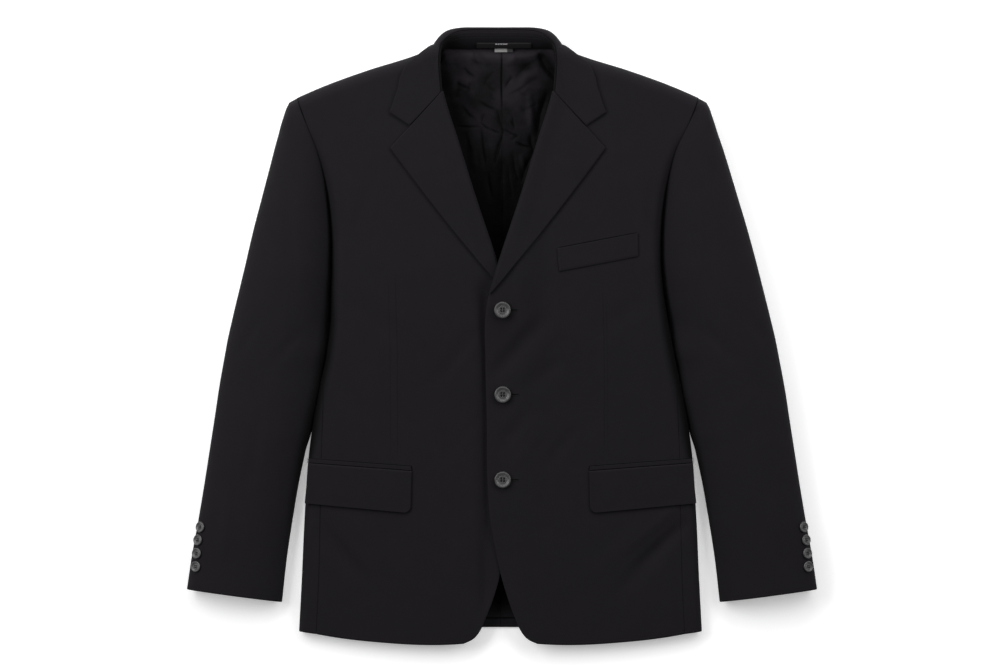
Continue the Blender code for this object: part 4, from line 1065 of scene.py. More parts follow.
def wall_mesh(name, face, thick, outward, raised=0.0, square=None, uv=None):
    """A closed wall of cloth with rounded edges on a grid of points.

    Outer skin: point + normal (raised - drop). Inner skin: point + normal (raised - thick + drop).
    drop is a share of the thickness on the outermost rings, which rounds the edge, and else 0.
    """
    normal, turned_over = grid_normals(face, outward)
    if square is not None:
        square(normal)
        normal /= np.linalg.norm(normal, axis=-1, keepdims=True)
    if uv is None:
        uv = cut_lengths(face)
    walls = np.stack(np.broadcast_arrays(thick, raised, face[..., 0])[:2], axis=-1)
    data = insert_rings(np.concatenate([face, normal, uv, walls], axis=-1), np.max(thick) * MM)
    point, normal, uv = data[..., :3], data[..., 3:6], data[..., 6:8]
    thick, raised = data[..., 8:9], data[..., 9:]
    normal = normal / np.linalg.norm(normal, axis=-1, keepdims=True)
    rows, columns = point.shape[:2]
    ring = np.minimum(np.minimum(from_side(rows)[:, None], from_side(columns)), 2)
    drop = thick * EDGE_DROPS[ring][..., None]
    outer = point + normal * (raised - drop) * MM
    inner = point + normal * (raised - thick + drop) * MM
    index, quads = grid_faces(rows, columns)
    count = rows * columns
    rim = np.concatenate([index[0, :-1], index[:-1, -1], index[-1, :0:-1], index[:0:-1, 0]])
    ahead = np.roll(rim, -1)
    sides = np.stack([rim, ahead, ahead + count, rim + count], axis=-1)
    faces = np.concatenate([quads, quads[:, ::-1] + count, sides])
    if turned_over:
        faces = faces[:, ::-1]
    points = np.concatenate([outer.reshape(-1, 3), inner.reshape(-1, 3)])
    edge = np.tile((1 - ring / 2).ravel(), 2)
    return quad_mesh(name, points, faces, np.tile(uv.reshape(-1, 2), (2, 1)), edge)


def mesh_points(piece):
    """World x, up and z of a piece's points, in millimetres."""
    points = np.empty(3 * len(piece.data.vertices), dtype=np.float32)
    piece.data.vertices.foreach_get("co", points)
    x, up, z = (points.reshape(-1, 3) / MM).T
    return x, up + LENGTH / 2, z


def paint_shade(piece, value):
    """Give a piece's points a value of painted shade, with which its cloth is darker."""
    values = piece.data.attributes.new("pressed", "FLOAT", "POINT")
    values.data.foreach_set("value", np.clip(value, 0, 1).astype(np.float32))


def show(name, mesh, material, nodes=()):
    """Put a piece into the scene: it rides on the body and stands for the CAD nodes named."""
    mesh.materials.append(material)
    piece = bpy.data.objects.new(name, mesh)
    bpy.context.scene.collection.objects.link(piece)
    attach(piece, "root")
    if nodes:
        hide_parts(*nodes)
    return piece


def cloth(node, face, thick, outward, material, raised=0.0, square=None, uv=None):
    """One cut piece of cloth; the size of its cut is worked out but not used."""
    mesh = wall_mesh(f"{node}_cloth", face, thick, outward, raised, square, uv)
    piece = show(f"{node}_cloth", mesh, material, (node,))
    width, length, area = cut_size(face)
    return piece


def tube_mesh(name, paths, radius, up=(0.0, 0.0, 1.0), ring=6, closed=False):
    """Round threads along paths (paths, points, xyz): each ring turns about the path's run.

    Point = path + radius (cos a side + sin a rise), where side = run x up and rise = side x run.
    An open path narrows to a point at both ends, by sqrt(1 - t^6) from its middle.
    """
    paths = np.asarray(paths, dtype=float)
    count, steps = paths.shape[:2]
    if closed:
        run = np.roll(paths, -1, axis=1) - np.roll(paths, 1, axis=1)
    else:
        run = np.gradient(paths, axis=1)
    run /= np.maximum(np.linalg.norm(run, axis=-1, keepdims=True), 1e-12)
    side = np.cross(run, np.array(up, dtype=float))
    side /= np.maximum(np.linalg.norm(side, axis=-1, keepdims=True), 1e-12)
    rise = np.cross(side, run)
    angle = 2 * np.pi * np.arange(ring) / ring
    radius = np.broadcast_to(np.asarray(radius, dtype=float), (count, steps))
    if not closed:
        t = np.linspace(-1, 1, steps)
        radius = radius * np.maximum(np.sqrt(1 - t ** 6), THREAD_END)
    around = side[:, :, None] * np.cos(angle)[:, None]
    around = around + rise[:, :, None] * np.sin(angle)[:, None]
    points = paths[:, :, None] + around * radius[:, :, None, None]
    index = np.arange(count * steps * ring).reshape(count, steps, ring)
    if closed:
        index = np.concatenate([index, index[:, :1]], axis=1)
    ahead = np.roll(index, -1, axis=2)
    faces = np.stack([index[:, :-1], ahead[:, :-1], ahead[:, 1:], index[:, 1:]], axis=-1)
    faces = faces.reshape(-1, 4)
    if not closed:
        for end, order in ((0, 1), (-1, -1)):
            for step in range(ring // 2 - 1):
                cap = np.stack([index[:, end, step], index[:, end, ring - 1 - step],
                                index[:, end, ring - 2 - step], index[:, end, step + 1]], axis=-1)
                faces = np.concatenate([faces, cap[:, ::-order]])
    length = run_lengths(paths, 1)
    uv = np.stack(np.broadcast_arrays(length[:, :, None], angle * RING_GIRTH), axis=-1)
    return quad_mesh(name, points.reshape(-1, 3), faces, uv.reshape(-1, 2))


def cord(name, path, radius):
    """A dark cord along a path, half sunk in the cloth: painted shadow along a closed seam."""
    show(name, tube_mesh(name, path[None], radius * MM), once("slit", slit_shade_material))


# ---- body

def fine_levels(start, end, spacing, roll=0.0):
    """Levels from start to end, closer together over the last `roll` as its cloth turns over."""
    count = int(round((end - roll - start) / spacing)) + 1
    levels = np.linspace(start, end - roll, count)
    if roll:
        angle = np.radians(np.linspace(0, 90, 15))[1:]
        levels = np.concatenate([levels, end - roll * (1 - np.sin(angle))])
    return levels


def panel_square(side, levels, facing, column, top):
    """What squares a side edge to its seam and the `top` of the last row to the shoulder."""
    turned_in = levels < TURNED

    def square(normal):
        normal[turned_in, -1] = turn_normal(side, levels[turned_in], facing, column)
        normal[~turned_in, -1, 0] = 0.0
        normal[-1, top] = shoulder_normal(side)

    return square


def build_front(side):
    """Front panel, its columns running from the front edge."""
    name = sided("front", side)
    levels = fine_levels(HEM, SHOULDER, FRONT_SPACING, SHOULDER_ROLL)
    shares = 1 - (1 - np.linspace(0, 1, 86)) ** FRONT_CROWD
    out, up, z, girth = front_grid(side, levels, shares)
    darts = [(x * MM, start * MM, end * MM, half * MM, depth)
             for x, start, end, half, depth in DART_LINES[side]]
    piece = cloth(name, place(side, out, up, z), FRONT, (0, 0, 1),
                  suiting_material(f"{name} suiting", 0.5, darts),
                  square=panel_square(side, levels, 1, "turn", slice(None)),
                  uv=np.stack([girth, up], axis=-1) * MM)
    shade_fold(piece, side, "body", levels, body("out", levels))


def build_side(side):
    """Side panel, folded round between the front's seam and the back's.

    Its columns crowd round the fold by SIDE_SHARES at the hem, and are even at the underarm.
    """
    levels = fine_levels(HEM, UNDERARM, FRONT_SPACING)
    level = levels[:, None]
    radius = side_turn(level, "turn")[0]
    spare = SEAM / 2 * ramp(level, *SIDE_NARROWS)
    first = seam_girth(level, "turn") + spare
    last = np.pi * radius - seam_girth(level, "under") - spare
    even = np.linspace(0, 1, 46)
    around = np.interp(even, np.linspace(0, 1, len(SIDE_SHARES)), SIDE_SHARES)
    around = around + (even - around) * ramp(level, *SIDE_EVENS)
    girth = first + (last - first) * around
    out, drop = girth_point(level, girth, "turn")
    camber = front_face(side, out, level) - body("height", level)
    z = body("height", level) - drop + np.where(girth < 0, camber, 0.0)
    up = level - hem_sweep(out, level) * (girth < radius * np.pi / 2)

    def square(normal):
        normal[:, 0] = turn_normal(side, levels, 1, "turn")
        normal[:, -1] = turn_normal(side, levels, -1, "under")

    piece = cloth(sided("side", side), place(side, out, up, np.maximum(z, 0)), CLOTH,
                  (side, 0, 0), suiting(), square=square, uv=np.stack([girth, up], axis=-1) * MM)
    shade_fold(piece, side, "body", levels, body("out", levels))


def back_top(out):
    """Level of the back's upper edge: its neckline, then the shoulder."""
    return np.minimum(NECKLINE, shoulder_line(out))


def back_face(out, up):
    """Height of the back's outer face as it rises off the floor to the shoulder seam."""
    return (SHOULDER_SEAM - SEAM) * (1 - below_shoulder(out, up))


def build_back(side):
    """Back panel, lying on the floor from the centre seam outwards."""
    levels = fine_levels(HEM, SHOULDER, BACK_SPACING, SHOULDER_ROLL)
    level = levels[:, None]
    shares = 1 - (1 - np.linspace(0, 1, 48)) ** BACK_CROWD
    start = side_turn(level, "under")[1]
    girth = -start + shares * (seam_girth(level, "under") + start)
    out, rise = girth_point(level, girth, "under")
    above = np.clip((level - BACK_SQUARE) / (SHOULDER - BACK_SQUARE), 0, 1)
    up = np.where(level > BACK_SQUARE, BACK_SQUARE + above * (back_top(out) - BACK_SQUARE), level)
    up = up + BACK_HEM * (1 - shares ** 2) * np.clip(1 - (level - HEM) / BACK_HEM_FADE, 0, 1)
    z = np.maximum(rise, back_face(out, up))
    square = panel_square(side, levels, -1, "under", out[-1] > NECK_CORNER)
    cloth(sided("back", side), place(side, out, up, z), CLOTH, (0, 0, -1), suiting(),
          square=square, uv=np.stack([girth + start, up], axis=-1) * MM)


def build_lining(side):
    """Half of the back lining, lying on the back, with its billow, waves and creases."""
    across = np.linspace(0, 1, 100) ** 1.2
    out = LINING_WIDTH * across
    margin = LINING_MARGINS[0] + LINING_MARGINS[1] * ramp(out, *MARGIN_OUTS)
    top = np.interp(out, NECK_SEAM["out"], NECK_SEAM["up"])
    top = np.minimum(top, shoulder_line(out) - SHOULDER_ROLL * margin)
    share = np.concatenate([np.linspace(0, 0.68, 80)[:-1], np.linspace(0.68, 1, 200)])[:, None]
    up = LINING_HEM + (top - LINING_HEM) * share
    out = out - side * lean(0.0, up) * ramp(up, *STRAIGHT_SEAM) * (1 - across)
    z = back_face(out, up) + CLOTH + 2 * SEAM + LINING
    z = z + CORNER_RISE * ramp(out, *CORNER_OUTS) * ramp(up, *CORNER_LEVELS)
    z = z + TOP_RISE * ramp(up, *TOP_LEVELS)
    x = side * out + lean(out, up)
    billow = (1 - ramp(out, *BILLOW_FADE)) * ease((top + 1.0 - up) / BILLOW_TOP)
    soft = BILLOW * billow * ramp(up, *BILLOW_START) + folds(LINING_WAVES, x, up)
    soft = soft + LINING_DEPTH * settings().crease * creases(LINING_CREASES, x, up)
    z = z + np.clip(soft, LOWEST_CREASE, None)
    piece = cloth(sided("lining", side), place(side, out, up, z), LINING, (0, 0, 1),
                  once("lining satin", lining_material))
    x, up, _ = mesh_points(piece)
    # Painted shade in the lining's shady patches and its creases.
    paint_shade(piece, folds(LINING_SHADES, x, up) - creases(LINING_CREASES, x, up) / FULL_SHADE_DEPTH)


# ---- sleeves

def sleeve_rows(side):
    """Ends and heights of the sleeve's cross lines, finely divided between the table's rows."""
    level = SLEEVE["inner"]
    steps = [0.0]
    for row in range(len(level) - 1):
        apart = max(level[row] - level[row + 1],
                    abs(SLEEVE["crest"][row] - SLEEVE["crest"][row + 1]))
        count = int(math.ceil(apart / SLEEVE_SPACING))
        steps.extend(row + (np.arange(count) + 1) / count)
    index = np.arange(len(level), dtype=float)
    rows = {name: follow(index, values, np.array(steps))[:, None]
            for name, values in SLEEVE.items()}
    level = rows["inner"]
    rows["lift"] = np.clip(rows["lift"], 0, None)
    tuck = (FOLD_TUCK + DEEP_TUCK * ramp(level, *DEEP_TUCK_START)) * (1 - ramp(level, *TUCK_END))
    free = rows["inner_out"] - TUCK - tuck
    attached = level > UNDERARM - 1
    rows["inner_out"] = np.where(attached, body("out", level) - TUCK, free)
    turned, under = (turn_drop(level, np.radians(body(column, level)))
                     for column in ("turn", "under"))
    seam_z = front_face(side, body("out", level), level) - turned
    joining = ramp(level, UNDERARM - FOLD_JOIN, FOLD_JOIN)
    rows["inner_z"] = SLEEVE_FOLD + (seam_z - SLEEVE_FOLD) * joining
    low = np.maximum(under - SEAM, 0)
    rows["inner_under"] = SLEEVE_FOLD - SEAM + (low - SLEEVE_FOLD + SEAM) * joining
    rows["outer_z"] = np.maximum(OUTER_EDGE * rows["crest"], rows["lift"] + SEAM)
    return rows


def across_sleeve(rows, share):
    """Out and up of the sleeve's points, so far from its outer end to its inner one."""
    out = rows["outer_out"] + (rows["inner_out"] - rows["outer_out"]) * share
    return out, rows["outer_up"] + (rows["inner"] - rows["outer_up"]) * share


def crevice(column, up):
    """A column of the crevice's table at a level."""
    return np.interp(up, CREVICE["up"], CREVICE[column])


def topsleeve_grid(side, columns, creased=True):
    """Outer face of the upper sleeve: z = crest - (crest - end) (1 - (1 - |a|^n)^(1/n)).

    n is larger on the outer half than on the inner one, which falls more gently to the body.
    """
    rows = sleeve_rows(side)
    across = -np.cos(np.pi * np.linspace(0, 1, columns))
    share = (1 + across) / 2
    power = np.where(across < 0, ARCH["outer"], ARCH["inner"])
    arch = (1 - np.abs(across) ** power) ** (1 / power)
    inset = (rows["outer_out"] - rows["inner_out"]) * (1 - share)
    arch = arch * (1 - crevice("trench", rows["inner"]) * (1 - ease(inset / TRENCH)))
    end = np.where(across < 0, rows["outer_z"], rows["inner_z"])
    out, up = across_sleeve(rows, share)
    z = rows["crest"] - (rows["crest"] - end) * (1 - arch)
    if creased:
        z = z + settings().crease * folds(SLEEVE_CREASES, side * out, up) * ease(arch / 0.75)
    return out, up, z, rows


def shade_fold(piece, side, column, edge_levels, edge_out):
    """Give a panel's points a value of painted shade, greatest in the fold of the armhole.

    Value = shade (1.3 (1 - distance / reach))^1.2, where both come from the crevice's table. There
    is none close to the floor.
    """
    x, up, z = mesh_points(piece)
    out = side * (x - lean(x, up))
    away = np.abs(out - np.interp(up, edge_levels, edge_out))
    reach = crevice(column, up) * FOLD_REACH[column][side]
    shade = crevice("shade", up) * ramp(z, *SHADE_LIFT)
    paint_shade(piece, shade * np.clip(1.3 * (1 - away / reach), 0, 1) ** 1.2)


def build_sleeve(side):
    """Topsleeve and undersleeve of one side.

    The undersleeve lies flat in its middle and bends up to its ends by 1 - sqrt(1 - t^2).
    """
    out, up, z, rows = topsleeve_grid(side, 74)
    level = rows["inner"][:, 0]
    free = level < UNDERARM + 1
    head = level > TURNED

    def square(normal):
        normal[:, 0, 2] = 0.0
        normal[0, :, 2] = 0.0
        normal[free, -1, 2] = 0.0
        normal[head, -1, 0] = 0.0

    piece = cloth(sided("topsleeve", side), place(side, out, up, z), CLOTH, (0, 0, 1), suiting(),
                  square=square)
    shade_fold(piece, side, "sleeve", rows["inner"][::-1, 0], rows["inner_out"][::-1, 0])
    ends = 1 - (1 - UNDER_FLAT) * (1 - np.linspace(0, 1, 12) ** 0.7)
    middle = np.linspace(-UNDER_FLAT, UNDER_FLAT, 11)[1:-1]
    across = np.concatenate([-ends[::-1], middle, ends])
    t = np.clip(np.abs(across) - UNDER_FLAT, 0, None) / (1 - UNDER_FLAT)
    end = np.where(across < 0, rows["outer_z"] - SEAM, rows["inner_under"])
    z = rows["lift"] + np.clip(end - rows["lift"], 0, None) * (1 - np.sqrt(1 - t ** 2))
    out, up = across_sleeve(rows, (1 + across) / 2)
    cloth(sided("undersleeve", side), place(side, out, up, z), CLOTH, (0, 0, -1), suiting(),
          square=square)


# ---- lapels and collar

def lapel_grid(side):
    """Middle of a lapel's wall: out from inside the front, round the roll and out to its edge."""
    t = np.linspace(LAPEL_START[side], 1, 116)[:, None]
    roll_up = BREAK + (GORGE[1] - BREAK) * t
    roll_out = follow(ROLL["up"], ROLL["out"], roll_up)
    belly = BELLY * np.sin(np.pi * t)
    edge_out = LAPEL_FOOT + (LAPEL_TIP[0] - LAPEL_FOOT) * t + 0.6 * belly
    edge_up = BREAK + (LAPEL_TIP[1] - BREAK) * t - 0.8 * belly
    across_out = edge_out - roll_out
    across_up = edge_up - roll_up
    width = np.hypot(across_out, across_up)
    roll = np.minimum(ROLL_RADIUS, 0.25 * width)
    inside = FACING * (FACING_LEAST + (1 - FACING_LEAST) * ramp(t, *FACING_GROWS))
    inside = np.minimum(inside, 0.8 * width)
    lift = ROLL_LIFT * ease(width / LAPEL_WIDE)
    half = np.minimum(FOLDED / 2, 0.3 * width)

    def point(reach, turned_under):
        """Plan place at a distance from the rolled edge, and the height on the front or inside."""
        share = (reach + half) / width
        out = roll_out + across_out * share
        up = roll_up + across_up * share
        face = front_face(side, out, up)
        if turned_under:
            return out, up, face - FRONT - 3 * SEAM - half
        raised = lift * np.cos(np.pi / 2 * np.clip(reach / ROLL_WIDTH, 0, 1)) ** 2
        soft = settings().crease * folds(LAPEL_CREASES, side * out, up)
        return out, up, face + 3 * SEAM + half + raised + soft

    parts = [point(roll + (inside - roll) * reach, True) for reach in np.linspace(1, 0, 7)[:-1]]
    top = point(roll, False)[2]
    bottom = point(roll, True)[2]
    for angle in np.radians(np.linspace(-90, 90, 12)[:-1]):
        out, up, _ = point(roll - roll * math.cos(angle), False)
        parts.append((out, up, (top + bottom) / 2 + (top - bottom) / 2 * math.sin(angle)))
    for share in np.linspace(0, 1, 36):
        parts.append(point(roll + (width - half - roll) * share ** 1.1, False))
    out, up, z = (np.concatenate(values, axis=1) for values in zip(*parts))
    return place(side, out, up, z), np.broadcast_to(half, out.shape)


def build_lapel(side):
    """Lapel of one side, with the facing turned in along its roll."""
    face, half = lapel_grid(side)
    cloth(sided("lapel", side), face, 2 * half, (0, 0, 1), suiting(1.0), half)


def collar_rows():
    """Stations of the collar from the right gorge round the back of the neck to the left."""
    last = len(COLLAR["out"]) - 1
    steps = np.linspace(0, last, last * STATION_STEPS + 1)
    index = np.arange(last + 1, dtype=float)
    rows = {"station": np.concatenate([-steps[:0:-1], steps])[:, None]}
    for name, values in COLLAR.items():
        half = follow(index, values, steps)
        sign = -1 if name in MIRRORED else 1
        rows[name] = np.concatenate([sign * half[:0:-1], half])[:, None]
    return rows


def collar_rest(x, up):
    """Least height of the middle of the collar's wall where it lies over the front's shoulder."""
    out = np.abs(x)
    spare = 3 * SEAM + FOLDED / 2 + 0.5
    level = np.maximum(up - spare, 0)
    clear = front_face(RIGHT, out, level) + spare
    return np.where(up - spare < shoulder_line(out), clear, 0.0)


def stand_grid(shares):
    """Middle of the stand's wall, from its foot up to the crest of the roll.

    Plan = crest + (foot - crest) cos(a)^1.3 and z = foot + (crest - foot) sin(a)^1.3.
    """
    rows = collar_rows()
    angle = np.pi / 2 * shares
    run = np.cos(angle) ** 1.3
    x = rows["out"] + (rows["foot_out"] - rows["out"]) * run
    up = rows["up"] + (rows["foot_up"] - rows["up"]) * run
    z = rows["foot_z"] + (rows["z"] - rows["foot_z"]) * np.sin(angle) ** 1.3
    return x, up, z


def fall_grid(shares):
    """Middle of the fall's wall, from the crest down to its outer edge.

    It runs out along each station's heading by bulge sin(pi t) + reach share^1.35, where t is
    share / 0.6, and comes down by cos(pi t / 2)^2. The last rows turn into the gorge, the notch
    and the collar's tip.
    """
    rows = collar_rows()
    station = rows["station"]
    far = np.abs(station)
    heading = np.radians(rows["heading"])
    fast = np.clip(shares / 0.6, 0, 1)
    run = rows["bulge"] * np.sin(np.pi * fast) + rows["reach"] * shares ** 1.35
    run = run + SEAM * (1 - shares)
    trim = sum(more * bell(far, middle, spread) for more, middle, spread in FALL_TRIMS)
    run = run + trim * shares
    x = rows["out"] + np.sin(heading) * run
    up = rows["up"] + np.cos(heading) * run
    z = rows["edge_z"] + (rows["z"] - rows["edge_z"]) * np.cos(np.pi / 2 * fast) ** 2
    on_gorge = np.clip(shares / NOTCH_SHARE, 0, 1)
    past = np.clip((shares - NOTCH_SHARE) / (1 - NOTCH_SHARE), 0, 1)
    gorge = [(start + (notch - start) * on_gorge + (tip - notch) * past)
             for start, notch, tip in zip((rows["out"][-1], rows["up"][-1]), NOTCH, COLLAR_TIP)]
    ahead = far - NOTCH_STATION
    for sign, nearest in ((-1, -1), (1, 0)):
        last = (ahead[:, 0] >= 0) & (sign * station[:, 0] > 0)
        first = np.flatnonzero(last)[nearest]
        x[last] = x[first] + (sign * gorge[0] - x[first]) * ahead[last]
        up[last] = up[first] + (gorge[1] - up[first]) * ahead[last]
    over = ramp(far, *RESTING)
    return x, up, z + (np.maximum(z, collar_rest(x, up)) - z) * over


def build_collar():
    """Stand and fall of the collar, each in one piece round the neck."""
    def square_at(column):
        def square(normal):
            normal[:, column] = (0, 0, 1)

        return square

    # Rubbed edges: wear, which along the stand's foot also stands in for a painted highlight.
    piece = cloth("collar_stand", place(1, *stand_grid(np.linspace(0, 1, 26))), FOLDED,
                  (0, -0.5, 1), suiting(1.0), FOLDED / 2, square_at(-1))
    x, up, _ = mesh_points(piece)
    # Painted shade on the stand, deepest at its sides and gone near its top.
    shade = STAND_SHADE + STAND_SIDE_SHADE * ramp(np.abs(x), *STAND_SIDES)
    paint_shade(piece, shade * (1 - ramp(up, *STAND_LIT)))
    shares = np.concatenate([np.linspace(0, NOTCH_SHARE, 30), np.linspace(NOTCH_SHARE, 1, 16)[1:]])
    cloth("collar_fall", place(1, *fall_grid(shares)), FOLDED, (0, 0.5, 1), suiting(1.0),
          FOLDED / 2, square_at(0))


# ---- pockets

def patch_grid(side, corners, rows, columns, corner=0.0):
    """A four-cornered patch on a front's outer face: rows run from its lower edge.

    Its corners run from the lower one at the side to the lower inner one, which a radius of
    `corner` rounds off, and on round the patch.
    """
    (a, b, c, d) = (np.array(point) for point in corners)
    from_edge = np.clip(corner - rows * np.hypot(*(c - b)), 0, corner)
    pulled = (corner - np.sqrt(corner ** 2 - from_edge ** 2)) / np.hypot(*(b - a))
    rows = rows[:, None, None]
    across = np.linspace(0, 1, columns)[None, :, None] * (1 - pulled[:, None, None])
    plan = (a * (1 - across) + b * across) * (1 - rows) + (d * (1 - across) + c * across) * rows
    out, up = plan[..., 0], plan[..., 1]
    return out, up, front_face(side, out, up)


def build_pockets(side):
    """Flap and jetting of one side's hip pocket."""
    fine = np.interp(np.linspace(0, 1, 36), np.linspace(0, 1, len(FLAP_ROWS)), FLAP_ROWS)
    out, up, z = patch_grid(side, FLAP, fine, 60, FLAP_CORNER)
    soft = settings().crease * folds(FLAP_CREASES, side * out, up)
    cloth(sided("flap", side), place(side, out, up, z + soft), FOLDED, (0, 0, 1), suiting(1.0),
          2 * SEAM + FOLDED)
    grid = patch_grid(side, JET, np.linspace(0, 1, 8), 60)
    cloth(sided("jet", side), place(side, *grid), CLOTH, (0, 0, 1), suiting(),
          2 * SEAM + CLOTH)


def build_welt():
    """Breast pocket welt on the left front, pressed down along its sewn edge and its ends."""
    rows, columns = np.linspace(0, 1, 26), np.linspace(0, 1, 48)
    out, up, z = patch_grid(LEFT, WELT, rows, len(columns))
    (sewn, sewn_share), (ends, end_share) = WELT_SEWN, WELT_ENDS
    sunk = sewn * (1 - ease(rows / sewn_share))[:, None]
    sunk = np.maximum(sunk, ends * (1 - ease(np.minimum(columns, 1 - columns) / end_share)))
    cloth("breast_welt", place(LEFT, out, up, z - sunk), WELT_CLOTH, (0, 0, 1), suiting(1.0),
          2 * SEAM + WELT_CLOTH)


# ---- buttons

def button_mesh(name, across, spokes, point, normal):
    """A sew-through button turned about its axis, with four wells for the thread.

    Ring k lies at (r, h) of the profile; inside a well h falls by its depth, eased over its wall.
    """
    radius = across / 2
    thick = BUTTON_THICK * across
    corners = np.array(BUTTON_PROFILE) * (radius, thick)
    steps = np.concatenate([np.linspace(0, 1, count + 1)[:-1] + k
                            for k, count in enumerate(BUTTON_RINGS)] + [[len(BUTTON_RINGS)]])
    index = np.arange(len(corners), dtype=float)
    r, h = (np.interp(steps, index, values)[:, None] for values in corners.T)
    angle = 2 * np.pi * np.arange(spokes) / spokes
    x = r * np.cos(angle)
    y = r * np.sin(angle)
    pitch = WELL_PITCH * across
    off = np.hypot(np.abs(x) - pitch, np.abs(y) - pitch)
    well = ease((WELL * across - off) / (WELL_WALL * across)) * (steps[:, None] < 1)
    # Painted shade: full in each well, half as dark in the groove of the face.
    groove = 0.5 * np.clip(1 - np.abs(r / radius - GROOVE[0]) / GROOVE[1], 0, 1) + 0 * x
    z = h - WELL_DEPTH * thick * well
    turn = np.array(Vector(normal).to_track_quat("Z", "Y").to_matrix())
    points = np.stack([x, y, z], axis=-1) * MM @ turn.T + np.array(point)
    index, _ = grid_faces(*x.shape)
    ahead = np.roll(index, -1, axis=1)
    faces = np.stack([index[:-1], ahead[:-1], ahead[1:], index[1:]], axis=-1).reshape(-1, 4)
    uv = np.stack([x, y], axis=-1) * MM
    mesh = quad_mesh(name, points.reshape(-1, 3), faces[:, ::-1], uv.reshape(-1, 2),
                     np.maximum(well, groove).ravel())
    return mesh, turn


def sew_button(node, across, spokes, point, normal):
    """One button and the two bars of thread over its wells, each of two threads.

    A thread stands off the face by rise (1 - t^4) - dip |t|^12 along its run.
    """
    mesh, turn = button_mesh(f"{node}_turned", across, spokes, point, normal)
    show(f"{node}_turned", mesh, once("button resin", button_material), (node,))
    pitch = WELL_PITCH * across
    t = np.linspace(-1, 1, 13)
    z = BUTTON_FACE * BUTTON_THICK * across
    z = z + across * (THREAD_RISE * (1 - t ** 4) - THREAD_DIP * np.abs(t) ** 12)
    bars = [np.stack([pitch * (row + shift) + 0 * t, 1.1 * pitch * t, z], axis=-1) * MM
            for row in (-1, 1) for shift in (-THREAD_SHIFT, THREAD_SHIFT)]
    paths = np.array(bars) @ turn.T + np.array(point)
    threads = tube_mesh(f"{node}_thread", paths, BUTTON_THREAD * across * MM, up=normal)
    show(f"{node}_thread", threads, sewing_thread())


def build_front_buttons():
    """The three buttons of the closing, sewn on where the left front laps over."""
    around = np.radians(np.arange(0, 360, 30))
    for number, (level, middle) in enumerate(zip(BUTTON_LEVELS, BUTTON_OUTS), start=1):
        out = middle + BUTTON / 2 * np.cos(around)
        up = level + BUTTON / 2 * np.sin(around)
        top = max(front_face(LEFT, out, up).max(), front_face(LEFT, middle, level))
        point = place(LEFT, middle, level, top + SEAM)
        sew_button(f"front_button_{number}", BUTTON, SPOKES["front"], point, (0, 0, 1))


def build_cuff_buttons(side):
    """Four small buttons along the outer seam of the cuff, facing out from its rounded side."""
    out, up, z, _ = topsleeve_grid(side, 61, creased=False)
    face = place(side, out, up, z)
    normals, _ = grid_normals(face, (0, 0, 1))
    for number, (button_out, button_up) in enumerate(zip(*CUFF_BUTTON_ROWS.values()), start=1):
        row = np.interp(-button_up, -up[:, 5], np.arange(len(up)))
        low = int(row)
        line, leans = (grid[low] * (1 - (row - low)) + grid[low + 1] * (row - low)
                       for grid in (face, normals))
        wanted = place(side, button_out, button_up, 0.0)[0]
        column = int(np.argmin(np.abs(line[:, 0] - wanted)))
        normal = leans[column] / np.linalg.norm(leans[column])
        sew_button(f"cuff_button_{SIDE_NAMES[side]}_{number}", CUFF_BUTTON, SPOKES["cuff"],
                   line[column] + normal * SEAM * MM, normal)


def slit_ring(run, half, count):
    """A long ring round a slit that starts at 0: along one side, round its end and so back.

    Point = (end + half sin(turn), -half cos(turn)): end moves along the two sides, and turn goes
    from 0 to pi round the far end and on to 2 pi round the near one. The way gone comes first.
    """
    bend = math.pi * half
    at = np.linspace(0, 2 * (run + bend), count + 1)[:-1]
    turn = (np.clip(at - run, 0, bend) + np.clip(at - 2 * run - bend, 0, bend)) / half
    end = np.clip(at, 0, run) - np.clip(at - run - bend, 0, run)
    return at, end + half * np.sin(turn), -half * np.cos(turn)


def build_buttonholes():
    """Whipped rims round a slit of painted shade, beside each front button.

    The rim follows a long ring round the slit; its radius swells by one sixth at each stitch.
    """
    start, end = HOLE_X
    at, along, across = slit_ring(end - start, HOLE_HALF, 260)
    radius = (WHIPPING + WHIPPING_SWELL * np.sin(at * 2 * math.pi / WHIPPING_PITCH)) * MM
    for number, level in enumerate(BUTTON_LEVELS, start=1):
        out, up = start + along, level + across
        path = place(LEFT, out, up, front_face(LEFT, out, up) + 0.1)
        name = f"buttonhole_{number}_rim"
        mesh = tube_mesh(name, path[None], radius[None], ring=8, closed=True)
        show(name, mesh, thread("hole thread", (0.0022, 0.002, 0.0022)))
        # The slit: a near-black strip of painted shade between the rims.
        out = np.linspace(start, end, 24)[:, None]
        up = level + np.linspace(-SLIT_HALF, SLIT_HALF, 4)
        face = place(LEFT, out, up, front_face(LEFT, out, up))
        name = f"buttonhole_{number}_slit"
        mesh = wall_mesh(name, face, 0.12, (0, 0, 1), raised=0.14)
        show(name, mesh, once("slit", slit_shade_material))


# ---- stitches and neck

def stitches(name, path, normal, sizes, material):
    """A row of short stitches along a path: each rises from the cloth and goes back into it.

    sizes: the stitches' pitch, length and radius. A stitch lies radius (0.45 - 0.9 t^2) off it.
    """
    pitch, length, radius = sizes
    reach = run_lengths(path[None], 1)[0]
    count = max(int(reach[-1] / (pitch * MM)), 1)
    starts = (np.arange(count) + 0.5) * reach[-1] / count
    t = np.linspace(-1, 1, 7)
    at = starts[:, None] + 0.5 * length * MM * t
    point, up = (np.stack([np.interp(at, reach, values) for values in grid.T], axis=-1)
                 for grid in (path, normal))
    lift = (0.45 - 0.9 * t ** 2)[None, :, None] * radius * MM
    show(name, tube_mesh(name, point + up * lift, radius * MM, up=normal.mean(axis=0)), material)


